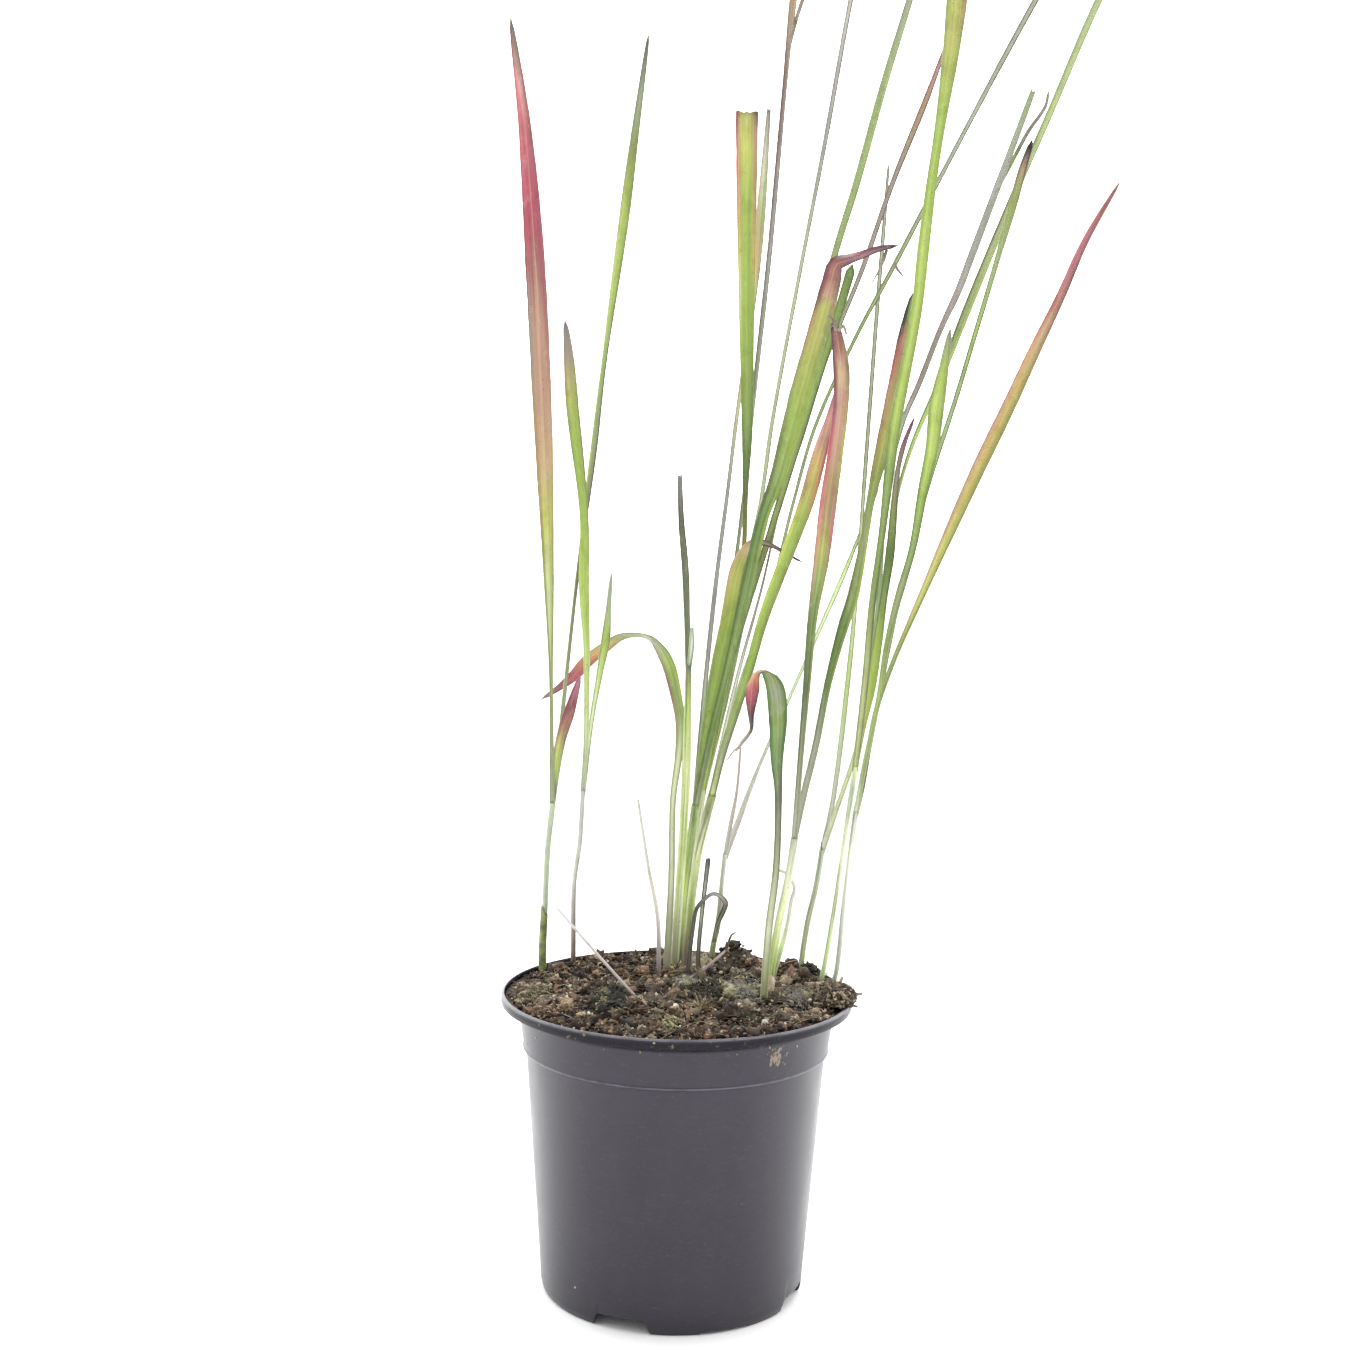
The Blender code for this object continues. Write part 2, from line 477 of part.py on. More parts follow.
def foot_cutter(name, angle, width, height):
    """A block across the foot ring, of the given width at the top and wider at the floor."""
    bm = bmesh.new()
    depth = 8.0
    bmesh.ops.create_cube(bm, size=1.0)
    bmesh.ops.scale(bm, verts=bm.verts, vec=(width, depth, height + 1))
    low = [vert for vert in bm.verts if vert.co.z < 0]
    widen = 1 + 2 * NOTCH_SPLAY / width
    bmesh.ops.scale(bm, verts=low, vec=(widen, 1, 1))
    middle = FOOT_RADIUS - 0.5
    bmesh.ops.translate(bm, verts=bm.verts, vec=(0, -middle, (height - 1) / 2))
    turn = Matrix.Rotation(math.radians(angle), 3, "Z")
    bmesh.ops.rotate(bm, verts=bm.verts, cent=(0, 0, 0), matrix=turn)
    return add_object(name, bm, helper=True)


def drain_cutter(name, angle):
    bm = bmesh.new()
    bmesh.ops.create_cone(bm, cap_ends=True, segments=16, radius1=DRAIN_RADIUS,
                          radius2=DRAIN_RADIUS, depth=6)
    turn = math.radians(angle)
    place = (DRAIN_CIRCLE * math.sin(turn), -DRAIN_CIRCLE * math.cos(turn), CHANNEL_ROOF)
    bmesh.ops.translate(bm, verts=bm.verts, vec=place)
    return add_object(name, bm, helper=True)


def make_pot():
    pot = add_object("pot", spin_profile(pot_profile(), POT_SIDES))
    pitch = 360 / NOTCH_COUNT
    for index in range(NOTCH_COUNT):
        angle = NOTCH_TURN + index * pitch
        cut(pot, foot_cutter(f"notch_cutter_{index}", angle, NOTCH_WIDTH, NOTCH_HEIGHT))
        middle = angle + pitch / 2
        cut(pot, foot_cutter(f"recess_cutter_{index}", middle, RECESS_WIDTH, RECESS_HEIGHT))
        cut(pot, drain_cutter(f"drain_cutter_{index}", middle))


# Soil
def soil_height(x, y):
    """Height of the soil's surface above the pot's underside."""
    crumb = noise.noise(Vector((x / CRUMB_SIZE, y / CRUMB_SIZE, 0.5)))
    height = SOIL_LEVEL + CRUMB_HEIGHT * crumb
    for mound_x, mound_y, radius, rise in SOIL_MOUNDS:
        distance = math.hypot(x - mound_x, y - mound_y) / radius
        height += rise * math.exp(-distance * distance)
    # The edge stays low beside the lip.
    edge = max(0.0, math.hypot(x, y) - SOIL_RINGS[0]) / (SOIL_EDGE_RADIUS - SOIL_RINGS[0])
    return height + edge * (SOIL_LEVEL - height)


def soil_profile():
    floor = CHANNEL_ROOF + FLOOR_THICKNESS
    band_foot = POT_HEIGHT - LIP_BAND
    surface = [(0, SOIL_LEVEL)] + [(radius, SOIL_LEVEL) for radius in reversed(SOIL_RINGS)]
    side = [
        (SOIL_EDGE_RADIUS, SOIL_LEVEL),
        (SOIL_EDGE_RADIUS, band_foot + 0.9),
        (LIP_RADIUS - 1.95, band_foot + 0.5),
        (COLLAR_TOP_RADIUS - 0.7, COLLAR_TOP + 1.75),
        (COLLAR_TOP_RADIUS - WALL - 0.45, COLLAR_TOP + 0.3),
        (COLLAR_FOOT_RADIUS - WALL - 0.45, COLLAR_FOOT - 0.2),
        (BODY_TOP_RADIUS - WALL - 0.45, COLLAR_FOOT - 1.0),
        (body_radius(floor) - WALL - 0.45, floor + GAP),
        (PAD_RADIUS + 0.4, floor + GAP),
        (PAD_RADIUS - 1.0, FLOOR_THICKNESS + GAP),
        (0, FLOOR_THICKNESS + GAP),
    ]
    return surface + side


def make_soil(rooted):
    bm = spin_profile(soil_profile(), SOIL_SIDES)
    for vert in bm.verts:
        if abs(vert.co.z - SOIL_LEVEL) < 0.01:
            vert.co.z = soil_height(vert.co.x, vert.co.y)
    soil = add_object("soil", bm)
    for name, foot, above, reach in rooted:
        cut(soil, socket_cutter(f"socket_{name}", foot, above, reach))


def socket_cutter(name, foot, above, reach):
    """A slim post round the buried end of a stem, a little wider than the stem."""
    axis = (above - foot).normalized()
    low = foot - axis * SOCKET_CLEARANCE
    high = above + axis * 4
    bm = bmesh.new()
    radius = reach + SOCKET_CLEARANCE
    bmesh.ops.create_cone(bm, cap_ends=True, segments=SOCKET_SIDES, radius1=radius,
                          radius2=radius, depth=(high - low).length)
    turn = Vector((0, 0, 1)).rotation_difference(axis).to_matrix()
    bmesh.ops.rotate(bm, verts=bm.verts, cent=(0, 0, 0), matrix=turn)
    bmesh.ops.translate(bm, verts=bm.verts, vec=(low + high) / 2)
    return add_object(name, bm, helper=True)


def make_clump():
    bm = bmesh.new()
    bmesh.ops.create_icosphere(bm, subdivisions=3, radius=1.0)
    for vert in bm.verts:
        vert.co *= 1 + 0.22 * noise.noise(vert.co * 2.6)
    bmesh.ops.scale(bm, verts=bm.verts, vec=CLUMP_RADII)
    bmesh.ops.translate(bm, verts=bm.verts, vec=CLUMP_CENTRE)
    for vert in bm.verts:
        vert.co.z = max(vert.co.z, CLUMP_REST)
    bmesh.ops.recalc_face_normals(bm, faces=bm.faces)
    add_object("bark_clump", bm)


# Grass
def blade_thickness(width):
    thick = max(BLADE_THICKNESS, STALK_THICKNESS - STALK_NARROWING * width)
    return min(thick, max(width, 0.3))


def twist_steps(first, second):
    """Enough steps that the blade's two faces stay apart where it twists."""
    width = (first[3] + second[3]) / 2
    twist = math.radians(abs(second[4] - first[4]))
    return 1 + int(twist * width / (TWIST_SHARE * blade_thickness(width)))


def smooth_route(stations):
    """Stations along a smooth curve through the given ones, with more where it bends or twists."""
    points = [Vector(station[:3]) for station in stations]
    count = len(points)
    reach = [0.0]
    for first, second in zip(points, points[1:]):
        reach.append(reach[-1] + (second - first).length)

    def slope(index):
        low = max(index - 1, 0)
        high = min(index + 1, count - 1)
        span = reach[high] - reach[low]
        return [(b - a) / span for a, b in zip(stations[low], stations[high])]

    slopes = [slope(index) for index in range(count)]
    route = [tuple(stations[0])]
    for index in range(count - 1):
        span = reach[index + 1] - reach[index]
        bend = Vector(slopes[index][:3]).angle(Vector(slopes[index + 1][:3]))
        steps = 1 + int(math.degrees(bend) / BEND_PER_RING)
        if len(stations[index]) > 4:
            steps = max(steps, twist_steps(stations[index], stations[index + 1]))
        for step in range(1, steps + 1):
            t = step / steps
            a = 2 * t**3 - 3 * t**2 + 1
            b = t**3 - 2 * t**2 + t
            c = 3 * t**2 - 2 * t**3
            d = t**3 - t**2
            route.append(tuple(
                a * p0 + b * span * m0 + c * p1 + d * span * m1
                for p0, m0, p1, m1 in zip(
                    stations[index], slopes[index], stations[index + 1], slopes[index + 1]
                )
            ))
    return route


def frames(route, turns):
    """Place, width direction and face normal at each station of a route."""
    points = [Vector(station[:3]) for station in route]
    made = []
    for index, point in enumerate(points):
        before = points[max(index - 1, 0)]
        after = points[min(index + 1, len(points) - 1)]
        along = (after - before).normalized()
        front = Vector((0, -1, 0))
        front = (front - along * front.dot(along)).normalized()
        side = along.cross(front)
        turn = math.radians(turns[index])
        across = side * math.cos(turn) + front * math.sin(turn)
        normal = front * math.cos(turn) - side * math.sin(turn)
        made.append((point, across, normal))
    return made


def loft(rings, tip=None):
    """A closed solid drawn through rings of points, by extruding one face from ring to ring."""
    bm = bmesh.new()
    cap = bm.faces.new([bm.verts.new(point) for point in rings[0]])
    for ring in rings[1:]:
        made = bmesh.ops.extrude_face_region(bm, geom=[cap, *cap.edges])
        cap = next(item for item in made["geom"] if isinstance(item, bmesh.types.BMFace))
        for vert, point in zip(cap.verts, ring):
            vert.co = point
    if tip is not None:
        made = bmesh.ops.extrude_face_region(bm, geom=[cap, *cap.edges])
        ends = [item for item in made["geom"] if isinstance(item, bmesh.types.BMVert)]
        bmesh.ops.pointmerge(bm, verts=ends, merge_co=tip)
    bmesh.ops.recalc_face_normals(bm, faces=bm.faces)
    return bm


def blade_ring(point, across, normal, width):
    """Four corners of a folded blade: one edge, the front of the midrib, the other edge, its back."""
    thick = blade_thickness(width)
    fold = BLADE_FOLD * width
    return [
        point - across * width / 2,
        point + normal * (thick / 2 - fold),
        point + across * width / 2,
        point - normal * (thick / 2 + fold),
    ]


def make_leaf(name, stations, ending, helper=False):
    route = smooth_route(stations)
    turns = [station[4] for station in route]
    rings = []
    for (point, across, normal), station in zip(frames(route, turns), route):
        rings.append(blade_ring(point, across, normal, max(station[3], 0.3)))
    tip = None
    if ending == "point":
        rings.pop()
        tip = Vector(stations[-1][:3])
    return add_object(name, loft(rings, tip), helper)


def join(piece, other):
    boolean = piece.modifiers.new(other.name, "BOOLEAN")
    boolean.operation = "UNION"
    boolean.object = other


def make_shoot(name, depth, stations):
    route = smooth_route(stations)
    rings = []
    for (point, across, normal), station in zip(frames(route, [0] * len(route)), route):
        ring = []
        for index in range(SHOOT_SIDES):
            angle = 2 * math.pi * (index + 0.5) / SHOOT_SIDES
            ring.append(point + across * math.cos(angle) * station[3] / 2
                        + normal * math.sin(angle) * depth / 2)
        rings.append(ring)
    add_object(name, loft(rings))


def shoot_leaf_stations(shoot, place, foot_width, stations):
    """The leaf's foot stands on the shoot's top, at its place from front to back."""
    top = SHOOTS[shoot][1][-1]
    foot = (top[0], top[1] + place, top[2] + LEAF_FOOT_GAP, foot_width, 0)
    return (foot, *stations)


def make_grass():
    """Makes every stem and leaf, and returns the buried ends that the soil makes room for."""
    rooted = []
    for name, (depth, stations) in SHOOTS.items():
        make_shoot(name, depth, stations)
        reach = max(depth, stations[0][3]) / 2
        rooted.append((name, Vector(stations[0][:3]), Vector(stations[1][:3]), reach))
    for name, (shoot, place, foot_width, ending, stations) in SHOOT_LEAVES.items():
        leaf = make_leaf(name, shoot_leaf_stations(shoot, place, foot_width, stations), ending)
        if name == TORN_LEAF:
            join(leaf, make_leaf("torn_strand", TORN_STRAND, "cut", helper=True))
    for name, (ending, stations) in SOIL_LEAVES.items():
        make_leaf(name, stations, ending)
        reach = stations[0][3] / 2
        rooted.append((name, Vector(stations[0][:3]), Vector(stations[1][:3]), reach))
    return rooted


def main():
    clear_scene()
    make_pot()
    make_soil(make_grass())
    make_clump()


main()
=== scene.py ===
"""Looks of the potted blood grass: the pot, the potting mix and every shoot and leaf.

Sizes are in millimetres, and they are turned into metres where a mesh is made.
"""

import math
import random

import bmesh
import bpy
from mathutils import Matrix, Vector, noise


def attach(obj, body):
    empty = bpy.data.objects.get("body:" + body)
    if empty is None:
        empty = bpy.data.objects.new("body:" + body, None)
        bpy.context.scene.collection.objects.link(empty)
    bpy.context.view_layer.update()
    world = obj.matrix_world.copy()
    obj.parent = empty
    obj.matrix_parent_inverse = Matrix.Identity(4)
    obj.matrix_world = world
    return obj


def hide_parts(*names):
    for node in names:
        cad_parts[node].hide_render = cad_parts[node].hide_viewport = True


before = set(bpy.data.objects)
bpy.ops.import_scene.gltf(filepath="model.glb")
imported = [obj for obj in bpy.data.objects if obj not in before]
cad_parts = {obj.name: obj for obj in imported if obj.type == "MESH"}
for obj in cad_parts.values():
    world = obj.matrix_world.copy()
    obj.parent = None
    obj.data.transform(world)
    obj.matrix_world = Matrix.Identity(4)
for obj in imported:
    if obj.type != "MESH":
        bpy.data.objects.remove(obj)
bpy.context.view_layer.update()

MM = 0.001
BODY = "root"
random.seed(7)
noise.seed_set(7)

# Camera: place in metres, angles in degrees, and focal length for its sensor's width.
CAMERA_PLACE = (0, -0.700, 0.296)
CAMERA_PITCH = -5.66
CAMERA_ROLL = 1.16
CAMERA_LENS = 50.68
CAMERA_SENSOR = 36

# Pot: thin moulded shell with a flared lip, a collar, and feet between four drain notches.
POT_HEIGHT = 111.6
LIP_RADIUS = 65.0
LIP_BAND = 3.0
BAND_FOOT = POT_HEIGHT - LIP_BAND
COLLAR_TOP_RADIUS = 58.4
COLLAR_TOP = 105.2
COLLAR_FOOT_RADIUS = 56.4
COLLAR_FOOT = 91.6
BODY_TOP_RADIUS = 55.5
BODY_FOOT_RADIUS = 48.9
BODY_FOOT = 3.2
FOOT_RADIUS = 47.6
WALL = 1.1
PAD_RADIUS = 30.8
CHANNEL_ROOF = 4.6
FLOOR_THICKNESS = 1.2
FLOOR_LEVEL = CHANNEL_ROOF + FLOOR_THICKNESS
NOTCH_COUNT = 4
NOTCH_WIDTH = 18.5
NOTCH_HEIGHT = 5.0
NOTCH_DEPTH = 8.0
NOTCH_CORNER = 1.2
NOTCH_SPLAY = 2.2
NOTCH_TURN = -21.5
RECESS_WIDTH = 17.0
RECESS_HEIGHT = 1.0
DRAIN_RADIUS = 4.0
DRAIN_CIRCLE = 40.0

# Potting mix: fills the pot to the lip, with low mounds of coarse crumb. It is flat at its edge.
SOIL_LEVEL = 110.3
SOIL_EDGE_RADIUS = 63.5
SOIL_FLAT_FROM = 58
# Gaps between the mix and the pot's wall and floor.
SOIL_CLEARANCE = 0.45
FLOOR_GAP = 0.3
# Low bumps all over it.
BUMP_SIZE = 9.0
BUMP_HEIGHT = 1.1
# Each mound is x, y, radius, height.
SOIL_MOUNDS = (
    (25, 51, 7.5, 6.5),
    (42, 33, 7.5, 3.2),
    (51, 26, 7, 4.4),
    (4, 34, 9, 1.8),
    (33, -3, 8, 1.0),
    (-30, 46, 9, 1.2),
    (-8, -28, 14, 0.8),
)

# Clump of coir that lies over the lip. It rests at this height on the lip.
CLUMP_CENTRE = (58.0, -7.0, 112.0)
CLUMP_RADII = (7.8, 13.0, 5.0)
CLUMP_REST = 112.0

# Grass: a broad blade is thin and folded along its midrib, and a slender one is thicker.
BLADE_THICKNESS = 0.5
STALK_THICKNESS = 1.0
STALK_NARROWING = 0.2
BLADE_FOLD = 0.1
# A leaf's solid starts this far above its shoot's top.
LEAF_FOOT_GAP = 0.7

# A shoot's stations run from below the soil to the fork: x, y, z, width. The first number is its
# depth, front to back, which is what its leaves stand on.
SHOOTS = {
    "shoot_left": (3.2, (
        (-51, 30, 109, 2.3), (-52, 30, 112, 2.3), (-51, 24, 138, 2.3), (-50, 19, 160, 2.3),
        (-48, 15, 179, 2.3),
    )),
    "shoot_left_back": (2.2, (
        (-41, 43, 109, 2.0), (-41, 43, 115, 2.0), (-41, 42, 143, 2.0), (-39, 41, 159, 2.0),
        (-38, 40, 180, 1.9),
    )),
    "shoot_centre": (2.4, (
        (-1, 38, 106, 3.1), (-1, 38, 111, 3.1), (0, 37, 136, 3.5), (1, 36, 158, 3.5), (2, 35, 190, 3.5),
        (2, 34, 217, 2.7), (2, 33, 230, 2.3),
    )),
    "shoot_centre_back": (4.2, (
        (1, 44, 106, 3.5), (1, 44, 112, 3.5), (2, 43, 137, 3.5), (4, 42, 157, 3.5), (6, 41, 175, 3.5),
    )),
    "shoot_centre_rear": (4.2, (
        (3, 50, 106, 2.8), (3, 50, 113, 2.8), (4, 50, 138, 2.8), (6, 50, 156, 2.8), (9, 50, 180, 2.7),
    )),
    "shoot_centre_right": (3.2, (
        (5, 32, 106, 3.5), (4, 32, 117, 3.5), (5, 30, 138, 3.1), (7, 26, 158, 3.4), (10, 24, 173, 3.4),
        (12, 22, 182, 3.4),
    )),
    "shoot_dry": (2.2, (
        (14, 50, 107, 2.4), (14, 50, 116, 2.4), (16, 50, 127, 2.4), (17, 50, 142, 2.0), (18, 50, 154, 2.0),
    )),
    "shoot_front": (2.4, (
        (34, 0, 106, 3.0), (34, 0, 112, 3.0), (37, -3, 138, 3.0), (40, -4, 155, 2.9), (42, -6, 171, 2.9),
    )),
    "shoot_right_inner": (2.2, (
        (48, 30, 108, 2.3), (48, 30, 115, 2.3), (50, 31, 131, 2.3), (53, 31, 146, 2.3), (55, 32, 160, 2.3),
    )),
    "shoot_right_middle": (3.2, (
        (54, 19, 108, 1.9), (56, 19, 117, 1.9), (60, 20, 145, 1.9), (63, 21, 170, 1.9), (65, 22, 185, 2.3),
        (66, 22, 194, 2.3),
    )),
    "shoot_right_outer": (3.2, (
        (57, 10, 108.5, 1.9), (60, 11, 117, 1.9), (62, 12, 141, 1.9), (64, 13, 162, 1.9),
        (66, 14, 178, 2.3),
    )),
}

# A leaf that grows from a shoot: its shoot, its place on the shoot's top from front (-) to back (+),
# its width there, how it ends, and its stations above the fork: x, y, z, width, turn. Turn is in
# degrees: at 0 the blade's flat side faces the front, and at 90 it is edge-on.
SHOOT_LEAVES = {
    "leaf_left_long": ("shoot_left", -1, 1.6, "point", (
        (-49, 10, 226, 1.0, 10), (-50, 5, 263, 3.5, 10), (-52, -4, 317, 6.1, 0), (-54.6, -16, 373, 6.4, 0),
        (-57.7, -29, 418, 4.2, 10), (-62, -40, 452, 0.4, 20),
    )),
    "leaf_left_short": ("shoot_left", 0, 1.5, "point", (
        (-47, 14, 192, 3.0, 0), (-45, 12, 204, 3.5, 0), (-42, 10, 214, 3.7, 0), (-38, 6, 228, 0.4, 10),
    )),
    "leaf_left_thin": ("shoot_left", 1, 1.6, "point", (
        (-45, 21, 216, 1.4, 30), (-41, 29, 263, 1.4, 40), (-36, 39, 311, 2.5, 20), (-33, 47, 344, 2.3, 40),
        (-27, 63, 399, 4.0, 20), (-23.6, 73, 433, 3.0, 10), (-19, 88, 477, 0.4, 10),
    )),
    "leaf_back_wide": ("shoot_left_back", -0.5, 1.5, "point", (
        (-37, 36, 202, 1.5, 10), (-37, 30, 236, 2.2, 10), (-38, 24, 259, 3.4, 0), (-38, 15, 287, 3.2, 20),
        (-41.8, 0, 325, 4.2, 0), (-43, -9, 344, 3.1, 0), (-44, -15, 355, 0.4, 0),
    )),
    "leaf_back_short": ("shoot_left_back", 0.5, 1.5, "point", (
        (-35, 38, 208, 1.5, 10), (-32, 36, 227, 2.2, 10), (-30, 35, 239, 3.1, 0), (-29, 32, 252, 1.7, 20),
        (-28, 30, 265, 0.4, 20),
    )),
    "leaf_cut_dark": ("shoot_centre", 0.5, 1.8, "cut", (
        (1, 36, 247, 2.2, 30), (0, 41, 266, 2.8, 30), (-2, 47, 285, 2.3, 30), (-3, 55, 303, 1.6, 30),
    )),
    "leaf_stub": ("shoot_centre", -0.5, 1.5, "cut", (
        (3, 32, 238, 1.6, 10), (3, 31, 245, 0.8, 10),
    )),
    "leaf_bent_purple": ("shoot_centre_back", -1.5, 1.8, "point", (
        (11, 34, 203, 2.0, 15), (17, 29, 231, 2.2, 25), (23, 22, 260, 3.6, 10), (28, 15, 286, 3.3, 0),
        (33, 9, 302, 4.4, 0), (40, -2, 332, 6.1, 0), (46.5, -14, 359, 5.9, 0), (48.8, -20, 370, 5.4, 10),
        (50, -24, 375.5, 4.8, 25), (54, -26, 377, 4.0, 40), (57.5, -29, 378, 3.0, 50),
        (63.5, -32, 380, 1.9, 50), (70, -35, 381, 0.5, 50),
    )),
    "leaf_wide_green": ("shoot_centre_back", -0.5, 2.4, "point", (
        (9, 37, 201, 3.5, 5), (13, 33, 227, 5.4, 0), (17, 29, 248, 6.1, 0), (20, 25, 267, 6.3, 10),
        (23, 24, 275, 5.4, 40), (26, 23, 278, 4.4, 60), (32, 22, 277, 2.7, 60), (38, 20, 274, 0.9, 60),
        (44, 18, 271, 0.6, 60),
    )),
    "leaf_bent_rear": ("shoot_centre_back", 0.5, 1.8, "point", (
        (10, 39, 199, 1.5, 10), (21, 34, 242, 1.6, 30), (31, 28, 279, 2.3, 20), (41, 20, 316, 2.7, 20),
        (48, 15, 341, 2.6, 20), (54, 9, 363, 2.9, 10), (58, 4, 379, 0.4, 0),
    )),
    "leaf_cut_slim": ("shoot_centre_back", 1.5, 1.8, "cut", (
        (7, 42, 199, 1.5, 20), (9, 41, 229, 1.8, 40), (12, 39, 264, 1.9, 50), (15.4, 37, 296, 1.8, 60),
        (18.4, 35, 326, 1.8, 60), (23.3, 31, 368, 2.3, 45), (25.2, 28, 397, 2.8, 20),
        (27.3, 24, 437, 3.2, 10),
    )),
    "leaf_cut_broad": ("shoot_centre_rear", -1.5, 1.6, "cut", (
        (14, 44, 208, 1.5, 10), (19, 38, 244, 1.2, 20), (22, 32, 275, 1.3, 20), (22, 28, 297, 1.7, 20),
        (22, 23, 320, 3.4, 0), (20.3, 10, 366, 4.9, 0), (19.2, -1, 400, 6.1, 0), (18.3, -12, 429, 7.0, 0),
    )),
    "leaf_tall_right": ("shoot_centre_rear", -0.5, 1.6, "point", (
        (17, 47, 216, 1.4, 20), (26, 45, 263, 1.7, 60), (35, 43, 305, 2.3, 60), (44, 40, 343, 2.9, 60),
        (54, 37, 387, 2.8, 45), (61, 35, 412, 2.9, 40), (70, 33, 448, 2.8, 35), (78, 30, 477, 2.6, 40),
        (87, 29, 510, 2.2, 40), (96, 27, 541, 0.4, 40),
    )),
    "leaf_tall_left": ("shoot_centre_rear", 0.5, 1.6, "point", (
        (13, 50, 208, 1.4, 10), (18, 51, 255, 1.8, 50), (22, 52, 294, 1.9, 60), (25, 54, 332, 2.5, 60),
        (30, 57, 388, 2.7, 60), (34.5, 61, 453, 1.9, 45), (37, 64, 485, 2.8, 40), (40, 68, 515, 2.8, 30),
        (43, 73, 548, 0.4, 20),
    )),
    "leaf_tall_mid": ("shoot_centre_rear", 1.5, 1.6, "point", (
        (15, 54, 215, 1.5, 30), (22, 57, 258, 1.8, 60), (29, 61, 292, 2.3, 65), (33, 65, 324, 2.3, 65),
        (42.3, 73, 380, 2.6, 70), (52.2, 84, 436, 2.6, 65), (61.6, 96, 493, 2.4, 60),
        (68, 104, 524, 2.2, 50), (75, 112, 552, 0.4, 40),
    )),
    "leaf_lime_red": ("shoot_centre_right", -1, 2.4, "point", (
        (15, 18, 197, 2.5, 10), (19, 14, 212, 2.8, 10), (24, 9, 230, 3.1, 0), (29, 2, 251, 3.5, 0),
        (37.2, -10, 277, 4.3, 0), (42.3, -20, 294, 5.0, 0), (45.7, -29, 310, 4.7, 0),
        (48.4, -37, 322, 2.8, 10), (50, -45, 332, 0.4, 20),
    )),
    "leaf_brown_thin": ("shoot_centre_right", 0, 1.8, "point", (
        (15, 23, 201, 1.3, 20), (21, 26, 229, 1.3, 40), (29, 29, 261, 0.9, 60), (36, 32, 295, 0.9, 60),
        (43, 35, 317, 1.5, 60), (52, 38, 348, 2.1, 60), (65, 44, 382, 2.5, 55), (76, 49, 415, 2.4, 50),
        (88.3, 55, 447, 2.6, 40), (97, 60, 472, 0.5, 40),
    )),
    "leaf_far_thin": ("shoot_centre_right", 1, 1.8, "point", (
        (16, 25, 201, 1.3, 20), (22, 29, 225, 1.3, 40), (32, 35, 256, 1.3, 50), (41, 41, 294, 1.7, 60),
        (49, 46, 323, 2.0, 60), (64, 54, 357, 2.1, 60), (78, 60, 384, 2.7, 60), (104, 73, 435, 2.7, 60),
        (135, 92, 494, 3.0, 50), (147, 98, 514, 2.3, 40), (159, 104, 533, 0.4, 30),
    )),
    "leaf_dry_short": ("shoot_dry", -0.5, 1.4, "point", (
        (20, 49, 167, 1.3, 10), (22, 48, 180, 0.9, 30), (23, 47, 198, 0.6, 40),
    )),
    "leaf_dry_long": ("shoot_dry", 0.5, 1.4, "point", (
        (23, 52, 167, 1.3, 10), (26, 53, 176, 1.2, 30), (32, 55, 192, 1.0, 50), (44, 59, 220, 1.1, 60),
        (53, 63, 241, 1.4, 60), (63, 69, 264, 1.7, 60), (70, 73, 282, 1.1, 60), (77, 78, 300, 0.8, 60),
    )),
    "leaf_red_broad": ("shoot_front", -0.5, 1.8, "cut", (
        (43, -13, 204, 1.8, 10), (44, -18, 227, 2.4, 10), (45, -26, 253, 3.2, 0), (47, -34, 274, 5.2, 0),
        (48.2, -42, 293, 5.6, 0), (49.6, -51, 311, 5.0, 0), (50.2, -60, 327, 4.9, 10),
        (49.4, -66, 338, 4.9, 20), (46.6, -74, 350, 2.4, 30),
    )),
    "leaf_front_long": ("shoot_front", 0.5, 1.8, "point", (
        (45, -4, 187, 2.1, 10), (49, -2, 205, 2.3, 20), (53, 1, 227, 2.3, 10), (58, 4, 247, 3.5, 0),
        (62, 7, 260, 3.8, 0), (66, 11, 282, 2.8, 30), (68, 14, 295, 3.1, 30), (73, 19, 317, 5.3, 0),
        (79, 26, 345, 6.2, 0), (82, 30, 359, 6.2, 0), (84, 34, 373, 0.8, 0),
    )),
    "leaf_grey_cut": ("shoot_right_inner", -0.5, 1.5, "cut", (
        (60, 33, 175, 1.3, 10), (67, 35, 198, 1.4, 30), (71, 38, 222, 1.1, 50), (75, 43, 260, 1.4, 50),
        (77, 48, 297, 1.9, 50), (82.8, 52, 324, 1.9, 50), (89.7, 55, 341, 2.1, 45),
        (96.8, 58, 360, 2.1, 45), (104, 61.5, 376, 2.6, 40), (109.6, 65, 391, 2.6, 35),
        (122, 72, 425, 2.3, 30), (133.7, 80, 457, 1.7, 30),
    )),
    "leaf_far_stalk": ("shoot_right_inner", 0.5, 1.5, "point", (
        (59, 35, 180, 1.6, 10), (64, 44, 225, 2.1, 40), (67, 52, 259, 2.2, 60), (70.4, 65, 310, 2.3, 60),
        (75.4, 87, 376, 2.3, 60), (78, 98, 406, 2.1, 60), (80, 108, 432, 0.8, 60),
    )),
    "leaf_bright": ("shoot_right_middle", -1, 1.8, "point", (
        (68, 14, 228, 2.1, 10), (69, 7, 257, 2.1, 20), (71, -2, 284, 2.2, 20), (72, -10, 305, 3.1, 20),
        (73, -17, 322, 3.4, 10), (77, -35, 359, 3.1, 10), (77.3, -46, 378, 3.3, 10),
        (77.8, -59, 398, 2.8, 0), (78.3, -72, 413, 2.8, 0), (79, -90, 435, 4.6, 0), (79, -100, 450, 5.6, 0),
        (79, -112, 475, 5.0, 0), (78, -126, 512, 0.4, 0),
    )),
    "leaf_inner_lime": ("shoot_right_middle", 0, 1.8, "point", (
        (68, 22, 209, 2.7, 0), (71, 23, 224, 3.4, 0), (73, 24, 240, 3.4, 0), (75, 25, 258, 2.5, 20),
